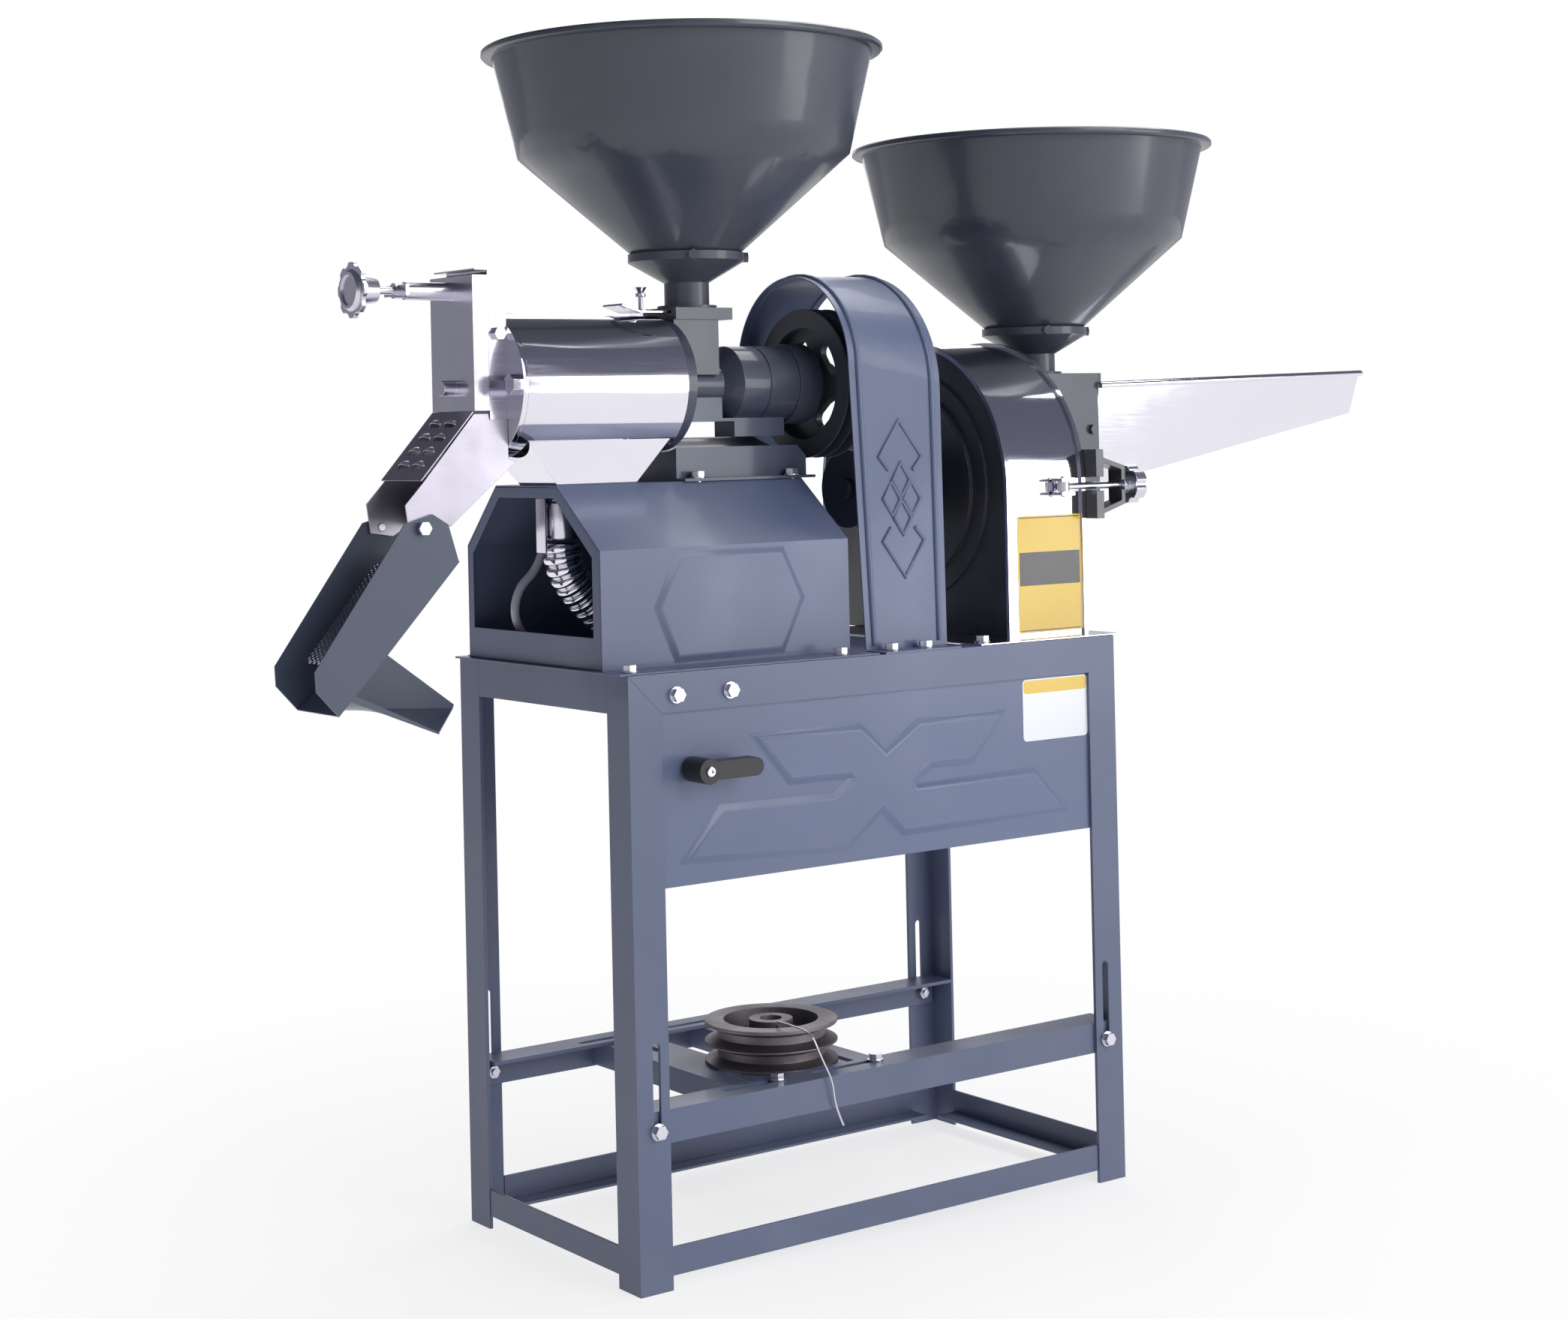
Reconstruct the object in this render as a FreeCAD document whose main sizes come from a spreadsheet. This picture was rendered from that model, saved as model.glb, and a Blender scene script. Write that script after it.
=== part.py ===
# Small combined rice huller and crusher on an angle-iron stand, in millimetres.
#
# The stand's middle is at x = 0, y = 0 in the sheet's sizes, +X runs along the two machines'
# shafts from the rice outlet to the feed tray, -Y is the side where the user stands, +Z is up.
# Every sub-part is then shifted by the same two cells, so that the finished object's own
# origin is under the middle of its bounding box, on the floor.
import FreeCAD, Part
import Sketcher
import math
import os
from FreeCAD import Rotation, Vector

doc = FreeCAD.newDocument("rice_huller")
X_AXIS, Y_AXIS, Z_AXIS = Vector(1, 0, 0), Vector(0, 1, 0), Vector(0, 0, 1)

# ---------------------------------------------------------------------------------------
# Driving dimensions
# ---------------------------------------------------------------------------------------
SIZES = {
    "shift_along": 157.5, "shift_across": 25.0,
    # stand, welded from angle iron
    "stand_half_length": 333.6, "stand_half_depth": 167.7, "stand_height": 620.0,
    "angle_leg": 40.0, "angle_wall": 4.0,
    "foot_rail_low": 14.0, "foot_rail_leg": 29.0, "foot_rail_wall": 3.0,
    "slot_width": 9.0, "slot_low": 162.0, "slot_high": 246.0, "slot_inset": 24.6,
    "bolt_radius": 4.0, "bolt_flange": 8.7, "bolt_head": 6.5, "bolt_head_height": 6.0,
    "nut_height": 6.5, "hole_radius": 4.5,
    # front panel and its lever
    "panel_bottom": 403.0, "panel_top": 614.0, "panel_half_length": 325.0,
    "panel_wall": 1.5, "emboss_depth": 3.0,
    "lever_along": -257.0, "lever_height": 521.0, "lever_radius": 13.0, "lever_reach": 68.0,
    # sliding motor rails and seat bars
    "rail_top": 181.0, "rail_drop": 34.0, "rail_wall": 4.0, "rail_half_length": 326.0,
    "rail_gap": 0.2, "seat_drop": 26.0, "seat_wall": 4.0, "seat_width": 62.0,
    "seat_left": -180.0, "seat_right": -48.0, "seat_slot_across": 85.0,
    "seat_slot_length": 60.0, "seat_slot_width": 10.0,
    # spare two-groove pulley lying on the seat bars
    "spare_radius": 72.5, "spare_along": -79.0, "spare_across": -50.0, "spare_bore": 12.0,
    # sheet-metal cabinet under the mill
    "cabinet_left": -332.0, "cabinet_right": -12.0, "cabinet_front": -119.0,
    "cabinet_back": 148.0, "cabinet_shoulder": 744.0, "cabinet_top": 810.0,
    "cabinet_ridge_front": -38.0, "cabinet_ridge_back": 85.0, "cabinet_sill": 655.0,
    "sheet_wall": 1.5, "base_wall": 2.0,
    # rice mill
    "mill_height": 915.0, "shaft_radius": 12.5, "running_gap": 0.06,
    "drum_radius": 75.0, "drum_left": -385.0, "drum_right": -187.0, "flange_right": -173.0,
    "end_flange_radius": 72.0, "neck_radius": 24.0, "neck_right": -104.0, "housing_radius": 42.0, "housing_rim": 45.0,
    "housing_right": 16.0, "bearing_radius": 31.0, "bearing_width": 18.0,
    "pulley_radius": 84.0, "pulley_left": 21.0, "pulley_width": 36.0,
    "screen_radius": 46.5, "roller_radius": 27.0, "screw_radius": 18.5,
    # feed parts of the mill
    "feed_along": -135.0, "throat_left": -173.0, "throat_right": -95.0,
    "throat_half": 29.0, "throat_low": 925.0, "feed_flange_low": 985.0,
    "feed_flange_high": 998.0, "tube_radius": 24.6, "tube_wall": 1.8, "tube_height": 28.0,
    "collar_radius": 64.0, "collar_height": 32.0,
    "hopper_radius": 220.0, "hopper_wall_radius": 208.0, "hopper_fold_radius": 182.0,
    "hopper_mouth_radius": 60.0, "hopper_fold_height": 106.0, "hopper_height": 224.0,
    "hopper_wall": 1.5,
    # rice outlet and chutes
    "outlet_half": 42.0, "outlet_top": 1033.0, "door_face": -431.0,
    "screw_height": 1012.6, "gate_pivot_height": 968.0, "gate_pivot_along": -401.0,
    "chute_pivot_along": -495.0, "chute_pivot_height": 772.0, "chute_half": 45.0,
    # belt guard
    "guard_left": 0.0, "guard_right": 112.0, "guard_wall": 1.5,
    # crusher
    "crusher_across": 50.0, "crusher_height": 793.0, "crusher_radius": 167.5,
    "crusher_left": 220.0, "crusher_right": 338.0, "crusher_pulley_radius": 46.0,
    "crusher_pulley_left": 120.0, "crusher_pulley_width": 40.0, "rotor_radius": 95.0,
    "ring_sieve_radius": 120.0, "door_radius": 150.0, "door_left": 340.0,
    "block_right": 474.0, "block_half": 55.0, "block_low": 780.0, "block_top": 925.0,
    "right_hopper_along": 421.0, "right_tube_height": 25.0,
    "tray_right": 932.0, "clamp_across": -128.0, "clamp_height": 791.0,
    "clamp_pivot_along": 298.0, "clamp_knob_left": 387.2,
}

sheet = doc.addObject("Spreadsheet::Sheet", "sizes")
for row, (alias, number) in enumerate(SIZES.items(), start=1):
    sheet.set(f"A{row}", alias)
    sheet.set(f"B{row}", str(number))
    sheet.setAlias(f"B{row}", alias)
doc.recompute()


class Dim:
    """A size that carries its number and the sheet expression that drives it."""

    def __init__(self, number, text):
        self.number, self.text = number, text

    def join(self, other, sign, result):
        text = other.text if isinstance(other, Dim) else repr(float(other))
        return Dim(result, f"({self.text} {sign} {text})")

    def __add__(self, other):
        return self.join(other, "+", self.number + value(other))

    def __sub__(self, other):
        return self.join(other, "-", self.number - value(other))

    def __mul__(self, other):
        return self.join(other, "*", self.number * value(other))

    def __truediv__(self, other):
        return self.join(other, "/", self.number / value(other))

    def __radd__(self, other):
        return self + other

    def __rsub__(self, other):
        return -self + other

    def __neg__(self):
        return Dim(-self.number, f"(-1 * {self.text})")


def value(size):
    """The plain number of a size or of a number."""
    return size.number if isinstance(size, Dim) else float(size)


class Sizes:
    """Gives each cell of the sheet as a Dim: sizes.angle_leg and so on."""

    def __getattr__(self, alias):
        return Dim(SIZES[alias], f"sizes.{alias}")


S = Sizes()


# ---------------------------------------------------------------------------------------
# Small modelling vocabulary
# ---------------------------------------------------------------------------------------
def bind(obj, prop, size):
    """Set a property from a size and keep it tied to the sheet."""
    if prop in obj.PropertiesList:
        setattr(obj, prop, value(size))
    if isinstance(size, Dim):
        obj.setExpression(prop, size.text)


def place(obj, x=0.0, y=0.0, z=0.0, axis=Z_AXIS, angle=0.0):
    """Put a sub-part at x, y, z of the stand, shifted to the object's own origin."""
    spot = (S.shift_along * -1 + x, S.shift_across * -1 + y, z)
    base = Vector(*(value(s) for s in spot))
    obj.Placement = FreeCAD.Placement(base, Rotation(axis, angle))
    for letter, size in zip("xyz", spot):
        if isinstance(size, Dim):
            obj.setExpression(f".Placement.Base.{letter}", size.text)
    return obj


def new_body(label):
    body = doc.addObject("PartDesign::Body", label)
    body.Label = label
    return body


def new_sketch(body, plane, offset=0.0):
    """A sketch on one of the body's own origin planes, moved along the plane's normal."""
    base = [f for f in body.Origin.OriginFeatures if f.Role == plane + "_Plane"][0]
    sketch = body.newObject("Sketcher::SketchObject", body.Label + "_sketch")
    sketch.AttachmentSupport = [(base, "")]
    sketch.MapMode = "FlatFace"
    sketch.AttachmentOffset = FreeCAD.Placement(Vector(0, 0, value(offset)), Rotation())
    if isinstance(offset, Dim):
        sketch.setExpression("AttachmentOffset.Base.z", offset.text)
    return sketch


def tie(sketch, kind, geometry, point, size):
    """Tie one coordinate of a sketch point to a size, measured from the sketch's origin."""
    if not isinstance(size, Dim) and abs(size) < 1e-9:
        axis = -2 if kind == "DistanceX" else -1
        sketch.addConstraint(Sketcher.Constraint("PointOnObject", geometry, point, axis))
        return
    index = sketch.addConstraint(
        Sketcher.Constraint(kind, -1, 1, geometry, point, value(size)))
    if isinstance(size, Dim):
        sketch.setExpression(f"Constraints[{index}]", size.text)


def outline(sketch, points):
    """A closed outline of straight lines through the points."""
    flat = [Vector(value(a), value(b), 0) for a, b in points]
    first = sketch.GeometryCount
    count = len(flat)
    for i in range(count):
        sketch.addGeometry(Part.LineSegment(flat[i], flat[(i + 1) % count]), False)
    for i in range(count):
        here, following = first + i, first + (i + 1) % count
        sketch.addConstraint(Sketcher.Constraint("Coincident", here, 2, following, 1))
        tie(sketch, "DistanceX", here, 1, points[i][0])
        tie(sketch, "DistanceY", here, 1, points[i][1])
    return sketch


def box_points(a0, b0, a1, b1):
    return [(a0, b0), (a1, b0), (a1, b1), (a0, b1)]


def circle(sketch, a, b, radius):
    """A full circle with its centre and radius tied."""
    centre = Vector(value(a), value(b), 0)
    index = sketch.addGeometry(Part.Circle(centre, Z_AXIS, value(radius)), False)
    tie(sketch, "DistanceX", index, 3, a)
    tie(sketch, "DistanceY", index, 3, b)
    number = sketch.addConstraint(Sketcher.Constraint("Radius", index, value(radius)))
    if isinstance(radius, Dim):
        sketch.setExpression(f"Constraints[{number}]", radius.text)
    return sketch


def slot(sketch, start, end, width):
    """A slot with round ends; start and end are the centres of its two end arcs."""
    (a0, b0), (a1, b1) = start, end
    c0, c1 = Vector(value(a0), value(b0), 0), Vector(value(a1), value(b1), 0)
    run = (c1 - c0).normalize()
    side = Vector(-run.y, run.x, 0) * (value(width) / 2)
    turn = math.atan2(side.y, side.x)
    radius = value(width) / 2
    first = sketch.GeometryCount
    near = Part.ArcOfCircle(Part.Circle(c0, Z_AXIS, radius), turn, turn + math.pi)
    far = Part.ArcOfCircle(Part.Circle(c1, Z_AXIS, radius), turn - math.pi, turn)
    sketch.addGeometry(near, False)
    sketch.addGeometry(Part.LineSegment(c0 - side, c1 - side), False)
    sketch.addGeometry(far, False)
    sketch.addGeometry(Part.LineSegment(c1 + side, c0 + side), False)
    for i in range(4):
        here, following = first + i, first + (i + 1) % 4
        sketch.addConstraint(Sketcher.Constraint("Tangent", here, 2, following, 1))
    for arc, (a, b) in ((first, start), (first + 2, end)):
        tie(sketch, "DistanceX", arc, 3, a)
        tie(sketch, "DistanceY", arc, 3, b)
    number = sketch.addConstraint(Sketcher.Constraint("Radius", first, radius))
    if isinstance(width, Dim):
        sketch.setExpression(f"Constraints[{number}]", (width / 2).text)
    sketch.addConstraint(Sketcher.Constraint("Equal", first, first + 2))
    return sketch


def pad(body, sketch, length, middle=False, reverse=False, taper=0.0):
    feature = body.newObject("PartDesign::Pad", body.Label + "_pad")
    feature.Profile = sketch
    bind(feature, "Length", length)
    feature.SideType = "Symmetric" if middle else "One side"
    feature.Reversed = reverse
    feature.TaperAngle = taper
    doc.recompute()
    return feature


def pocket(body, sketch, length=None, middle=False, reverse=False, taper=0.0):
    """Cut a sketch into the body; with no length it cuts through everything both ways."""
    feature = body.newObject("PartDesign::Pocket", body.Label + "_pocket")
    feature.Profile = sketch
    before = feature.BaseFeature.Shape.Volume if feature.BaseFeature else 0.0
    if length is None:
        feature.Type = "ThroughAll"
        middle = True
    else:
        bind(feature, "Length", length)
        feature.TaperAngle = taper
    feature.SideType = "Symmetric" if middle else "One side"
    feature.Reversed = reverse
    doc.recompute()
    if before and not feature.Shape.Volume < before - 1e-6:
        raise RuntimeError(f"{body.Label}: a pocket cuts nothing")
    return feature


def spin(label, profile, upright=False):
    """A body turned about X from (along, radius) points, or about Z from (radius, height)."""
    body = new_body(label)
    spin_more(body, profile, upright)
    return body


def spin_more(body, profile, upright=False, cut=False):
    sketch = outline(new_sketch(body, "XZ" if upright else "XY"), profile)
    kind = "PartDesign::Groove" if cut else "PartDesign::Revolution"
    feature = body.newObject(kind, body.Label + "_turned")
    feature.Profile = sketch
    feature.ReferenceAxis = (sketch, ["V_Axis" if upright else "H_Axis"])
    feature.Angle = 360
    doc.recompute()
    return feature


def plate(label, plane, points, thickness, offset=0.0, holes=(), middle=False):
    """A flat piece: an outline with round holes, given a thickness along the normal."""
    body = new_body(label)
    sketch = outline(new_sketch(body, plane, offset), points)
    for a, b, radius in holes:
        circle(sketch, a, b, radius)
    pad(body, sketch, thickness, middle)
    return body


def polar(body, feature, axis_sketch, count):
    """Repeat a feature evenly about the normal of a sketch."""
    pattern = body.newObject("PartDesign::PolarPattern", body.Label + "_ring")
    pattern.Originals = [feature]
    pattern.Axis = (axis_sketch, ["N_Axis"])
    pattern.Angle = 360
    pattern.Occurrences = count
    body.Tip = pattern
    doc.recompute()
    return pattern


def cylinder(name, radius, length, x, y, z, axis=Z_AXIS):
    """A plain round bar that starts at x, y, z and runs along axis."""
    bar = doc.addObject("Part::Cylinder", name)
    bind(bar, "Radius", radius)
    bind(bar, "Height", length)
    turn = Rotation(Z_AXIS, axis)
    place(bar, x, y, z)
    bar.Placement = FreeCAD.Placement(bar.Placement.Base, turn)
    return bar


def prism(name, radius, length, x, y, z, axis=Z_AXIS, sides=6):
    """A hexagonal head or nut that starts at x, y, z and runs along axis."""
    bar = doc.addObject("Part::Prism", name)
    bar.Polygon = sides
    bind(bar, "Circumradius", radius)
    bind(bar, "Height", length)
    turn = Rotation(Z_AXIS, axis)
    place(bar, x, y, z)
    bar.Placement = FreeCAD.Placement(bar.Placement.Base, turn)
    return bar


def fuse(label, pieces):
    joined = doc.addObject("Part::MultiFuse", label)
    joined.Label = label
    joined.Shapes = pieces
    return joined


def group(label, pieces):
    """Several separate solids that share one node."""
    bundle = doc.addObject("Part::Compound", label)
    bundle.Label = label
    bundle.Links = pieces
    return bundle


def drop(axis, distance):
    """The offset of a step along an axis."""
    return axis.x * distance, axis.y * distance, axis.z * distance


def flange_bolt(name, x, y, z, axis, grip, nut=True):
    """A flanged hexagon bolt whose head seats at x, y, z and stands out along axis."""
    head_flange = 1.6
    inward = axis * -1
    tail = value(grip) + SIZES["nut_height"] + 3.0
    ax, ay, az = drop(axis, head_flange)
    nx, ny, nz = drop(inward, value(grip))
    pieces = [
        cylinder(name + "_flange", S.bolt_flange, head_flange, x, y, z, axis),
        prism(name + "_head", S.bolt_head * 1.1547, S.bolt_head_height, x + ax, y + ay,
              z + az, axis),
        cylinder(name + "_shank", S.bolt_radius, tail, x, y, z, inward),
    ]
    if nut:
        pieces.append(prism(name + "_nut", S.bolt_head * 1.1547, S.nut_height,
                            x + nx, y + ny, z + nz, inward))
    return fuse(name, pieces)


def plain_feature(label, shape):
    """A sub-part whose shape comes from Part's own functions."""
    feature = doc.addObject("Part::Feature", label)
    feature.Label = label
    feature.Shape = shape
    place(feature)
    return feature


def block(name, x0, x1, y0, y1, z0, z1):
    """A plain block between two corners."""
    solid = doc.addObject("Part::Box", name)
    solid.Label = name
    bind(solid, "Length", x1 - x0)
    bind(solid, "Width", y1 - y0)
    bind(solid, "Height", z1 - z0)
    return place(solid, x0, y0, z0)


def cut(label, base, tool):
    result = doc.addObject("Part::Cut", label)
    result.Label = label
    result.Base, result.Tool = base, tool
    return result


def strip(points, wall):
    """The closed section of a bent sheet: the line of one face, thickened to its left."""
    flat = [Vector(value(a), value(b), 0) for a, b in points]
    back = []
    for i, here in enumerate(flat):
        runs = []
        if i:
            runs.append((here - flat[i - 1]).normalize())
        if i < len(flat) - 1:
            runs.append((flat[i + 1] - here).normalize())
        lefts = [Vector(-run.y, run.x, 0) for run in runs]
        lean = 1 + lefts[0].dot(lefts[-1])
        back.append(here + (lefts[0] + lefts[-1]) * (value(wall) / lean))
    return list(points) + [(v.x, v.y) for v in reversed(back)]


def arch_wire(x, centre, radius, feet, bottom, wall):
    """The closed section of a bent arch at one x: straight sides down to two feet."""
    (cy, cz), (front, back) = centre, feet
    outer, inner = radius, radius - wall

    def arc(r):
        return Part.Arc(Vector(x, cy - r, cz), Vector(x, cy, cz + r), Vector(x, cy + r, cz))

    corners = [Vector(x, front, bottom), Vector(x, cy - outer, cz), Vector(x, cy + outer, cz),
               Vector(x, back, bottom), Vector(x, back - wall, bottom),
               Vector(x, cy + inner, cz), Vector(x, cy - inner, cz),
               Vector(x, front + wall, bottom)]
    a, b, c, d, e, f, g, h = corners
    edges = [Part.makeLine(a, b), arc(outer).toShape(), Part.makeLine(c, d),
             Part.makeLine(d, e), Part.makeLine(e, f), arc(inner).toShape(),
             Part.makeLine(g, h), Part.makeLine(h, a)]
    return Part.Wire(Part.__sortEdges__(edges))


def tube(points, radius, closed_end=True):
    """A round bar bent along a line of points."""
    path = Part.makePolygon([Vector(*p) for p in points])
    run = (Vector(*points[1]) - Vector(*points[0])).normalize()
    ring = Part.Wire([Part.makeCircle(radius, Vector(*points[0]), run)])
    return path.makePipeShell([ring], True, False, 2)


parts = []


def keep(*subparts):
    parts.extend(subparts)


# ---------------------------------------------------------------------------------------
# Stand
# ---------------------------------------------------------------------------------------
TABLE_BOLTS = [(-319.0, -149.0), (-47.0, -147.0), (23.0, -147.0), (71.0, -147.0),
               (155.0, -145.0), (-319.0, 157.0), (-47.0, 157.0), (23.0, 147.0),
               (71.0, 147.0), (155.0, 147.0)]
RAIL_SLOTS = [(-203.0, -134.0), (-85.0, -5.0)]


def make_leg(label, side, face):
    """An angle-iron leg; side is -1 left or +1 right, face is -1 front or +1 back."""
    long, deep = S.stand_half_length * side, S.stand_half_depth * face
    in_x, in_y = S.angle_leg * -side, S.angle_leg * -face
    wall_x, wall_y = S.angle_wall * -side, S.angle_wall * -face
    leg = new_body(label)
    corner = [(long, deep), (long + in_x, deep), (long + in_x, deep + wall_y),
              (long + wall_x, deep + wall_y), (long + wall_x, deep + in_y),
              (long, deep + in_y)]
    pad(leg, outline(new_sketch(leg, "XY"), corner), S.stand_height)
    slot_x = (S.stand_half_length - S.slot_inset) * side
    cut = slot(new_sketch(leg, "XZ", -deep), (slot_x, S.slot_low), (slot_x, S.slot_high),
               S.slot_width)
    pocket(leg, cut, S.angle_wall * 2, middle=True)
    mitre = [(long, S.stand_height), (long + in_x, S.stand_height - S.angle_leg),
             (long + in_x, S.stand_height)]
    pocket(leg, outline(new_sketch(leg, "XZ", -deep), mitre), S.angle_wall * 2, middle=True)
    return place(leg)


def make_top_rail(label, face):
    """Front or back top rail with mitred ends and holes for the machines' foot bolts."""
    deep, half = S.stand_half_depth * face, S.stand_half_length
    rail = new_body(label)
    edge = [(-half, S.stand_height), (half, S.stand_height),
            (half - S.angle_leg, S.stand_height - S.angle_leg),
            (-half + S.angle_leg, S.stand_height - S.angle_leg)]
    front = new_sketch(rail, "XZ", -deep + S.angle_wall * (0 if face > 0 else -1))
    outline(front, edge)
    if face < 0:
        for bolt_x, bolt_z in PANEL_BOLTS:
            circle(front, bolt_x, bolt_z, S.hole_radius)
    pad(rail, front, S.angle_wall)
    flat = new_sketch(rail, "XY", S.stand_height - S.angle_wall)
    inner_y, outer_y = deep - S.angle_leg * face, deep - S.angle_wall * face
    outline(flat, box_points(-half + S.angle_wall, inner_y, half - S.angle_wall, outer_y))
    for bolt_x, bolt_y in TABLE_BOLTS:
        if bolt_y * face > 0:
            circle(flat, bolt_x, bolt_y, S.hole_radius)
    pad(rail, flat, S.angle_wall)
    return place(rail)


def make_side_rail(label, side):
    """Left or right top rail, fitted between the legs."""
    long, reach = S.stand_half_length * side, S.stand_half_depth - S.angle_leg
    wall, leg = S.angle_wall * -side, S.angle_leg * -side
    section = [(long, S.stand_height - S.angle_leg), (long, S.stand_height),
               (long + leg, S.stand_height), (long + leg, S.stand_height - S.angle_wall),
               (long + wall, S.stand_height - S.angle_wall),
               (long + wall, S.stand_height - S.angle_leg)]
    rail = new_body(label)
    pad(rail, outline(new_sketch(rail, "XZ"), section), reach * 2, middle=True)
    return place(rail)


def make_foot_rail(label, side, face):
    """Bottom rail; its standing leg is flush with the frame and its flat leg points in."""
    low, high = S.foot_rail_low, S.foot_rail_low + S.foot_rail_leg
    rail = new_body(label)
    if side:
        outer = (S.stand_half_length - 1) * side
        wall, flat = S.foot_rail_wall * -side, S.foot_rail_leg * -side
        plane, reach = "XZ", S.stand_half_depth - S.angle_leg
    else:
        outer = (S.stand_half_depth - 2) * face
        wall, flat = S.foot_rail_wall * -face, S.foot_rail_leg * -face
        plane, reach = "YZ", S.stand_half_length - S.angle_leg
    section = [(outer, low), (outer, high), (outer + wall, high),
               (outer + wall, low + S.foot_rail_wall),
               (outer + flat, low + S.foot_rail_wall), (outer + flat, low)]
    pad(rail, outline(new_sketch(rail, plane), section), reach * 2, middle=True)
    return place(rail)


PANEL_BOLTS = [(-275.7, 597.5), (-208.4, 597.5)]


def inset(points, distance):
    """The outline moved inward by a distance; the points run clockwise seen from the front."""
    count, result = len(points), []
    for i in range(count):
        here = Vector(*points[i], 0)
        before = (here - Vector(*points[i - 1], 0)).normalize()
        after = (Vector(*points[(i + 1) % count], 0) - here).normalize()
        left, right = Vector(before.y, -before.x, 0), Vector(after.y, -after.x, 0)
        corner = here + (left + right) * (distance / (1 + left.dot(right)))
        result.append((corner.x, corner.y))
    return result


def emboss(body, points, face, wall):
    """Press a field of a sheet forward: raise it on the front and hollow it behind."""
    raised = outline(new_sketch(body, "XZ", face), points)
    pad(body, raised, S.emboss_depth)
    hollow = outline(new_sketch(body, "XZ", face - wall), inset(points, value(wall)))
    pocket(body, hollow, S.emboss_depth, reverse=True)


def make_panel():
    """Pressed front panel with an X-shaped raised field and a hole for the lever."""
    panel = new_body("front_panel")
    inner = -S.stand_half_depth + S.angle_wall
    base = new_sketch(panel, "XZ", -inner - S.panel_wall)
    half = S.panel_half_length
    outline(base, box_points(-half, S.panel_bottom, half, S.panel_top))
    circle(base, S.lever_along, S.lever_height, 5.2)
    for bolt_x, bolt_z in PANEL_BOLTS:
        circle(base, bolt_x, bolt_z, S.hole_radius)
    pad(panel, base, S.panel_wall)
    cross = [(-168, 543), (-37, 542), (-3, 511), (44, 541), (159, 542), (117, 498),
             (60, 499), (31, 480), (38, 471), (209, 473), (248, 432), (21, 430),
             (-9, 459), (-61, 421), (-259, 431), (-219, 474), (-73, 472), (-44, 491),
             (-50, 498), (-130, 499)]
    emboss(panel, cross, -inner, S.panel_wall)
    return place(panel)


def make_panel_bolts():
    pieces = []
    for number, (bolt_x, bolt_z) in enumerate(PANEL_BOLTS):
        front = -SIZES["stand_half_depth"]
        pieces.append(flange_bolt(f"panel_bolt_{number}", bolt_x, front, bolt_z,
                                  Y_AXIS * -1, S.angle_wall + S.panel_wall))
    return pieces


def make_table_bolts():
    """Bolts that hold the machines' feet to the top rails."""
    pieces = []
    for number, (bolt_x, bolt_y) in enumerate(TABLE_BOLTS):
        pieces.append(flange_bolt(f"table_bolt_{number}", bolt_x, bolt_y,
                                  S.stand_height + S.base_wall, Z_AXIS,
                                  S.base_wall + S.angle_wall))
    return pieces


for side, side_name in ((-1, "left"), (1, "right")):
    for face, face_name in ((-1, "front"), (1, "back")):
        keep(make_leg(f"leg_{face_name}_{side_name}", side, face))
for face, face_name in ((-1, "front"), (1, "back")):
    keep(make_top_rail(f"top_{face_name}_rail", face))
keep(group("top_side_rails", [make_side_rail("side_rail_left", -1),
                              make_side_rail("side_rail_right", 1)]))
keep(group("bottom_rails", [make_foot_rail("foot_rail_left", -1, 0),
                            make_foot_rail("foot_rail_right", 1, 0),
                            make_foot_rail("foot_rail_front", 0, -1),
                            make_foot_rail("foot_rail_back", 0, 1)]))
keep(make_panel())


# ---------------------------------------------------------------------------------------
# Motor rails, seat bars and what lies on them; all slide up and down together
# ---------------------------------------------------------------------------------------
def make_motor_rail(label, face):
    top, wall, gap = S.rail_top, S.rail_wall, S.rail_gap
    outer = (S.stand_half_depth - S.angle_wall - gap) * face
    inward = S.rail_wall * -face
    section = [(outer, top - S.rail_drop), (outer, top), (outer + S.angle_leg * -face, top),
               (outer + S.angle_leg * -face, top - wall), (outer + inward, top - wall),
               (outer + inward, top - S.rail_drop)]
    rail = new_body(label)
    half = S.rail_half_length
    pad(rail, outline(new_sketch(rail, "YZ"), section), half * 2, middle=True)
    holes = new_sketch(rail, "XZ", -outer)
    for end in (-1, 1):
        circle(holes, (S.stand_half_length - S.slot_inset) * end, S.slot_low, S.hole_radius)
    pocket(rail, holes, S.rail_wall * 2, middle=True)
    slots = new_sketch(rail, "XY", top)
    for start, end in RAIL_SLOTS:
        slot(slots, (start, 138 * face), (end, 138 * face), S.slot_width)
    pocket(rail, slots, wall * 2, middle=True)
    return place(rail)


def make_seat_bar(label, left):
    """Channel across the rails with two long slots in line for a motor's feet."""
    low, high = S.rail_top - S.rail_wall - S.seat_drop, S.rail_top - S.rail_wall
    right, wall = left + S.seat_width, S.seat_wall
    section = [(left, low), (left, high), (right, high), (right, low), (right - wall, low),
               (right - wall, high - wall), (left + wall, high - wall), (left + wall, low)]
    bar = new_body(label)
    pad(bar, outline(new_sketch(bar, "XZ"), section), 312, middle=True)
    top = new_sketch(bar, "XY", high)
    middle, half = left + S.seat_width / 2, S.seat_slot_length / 2
    for face in (-1, 1):
        across = S.seat_slot_across * face
        slot(top, (middle, across - half), (middle, across + half), S.seat_slot_width)
        circle(top, middle + 12, 138 * face, S.hole_radius)
    pocket(bar, top, wall * 2, middle=True)
    return place(bar)


def make_rail_bolts():
    pieces = []
    for number, (end, face) in enumerate([(-1, -1), (1, -1), (-1, 1), (1, 1)]):
        deep = (S.stand_half_depth + S.rail_gap) * face
        pieces.append(flange_bolt(f"rail_bolt_{number}", (S.stand_half_length - S.slot_inset)
                                  * end, deep, S.slot_low, Y_AXIS * face, 8.4))
    return pieces


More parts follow.
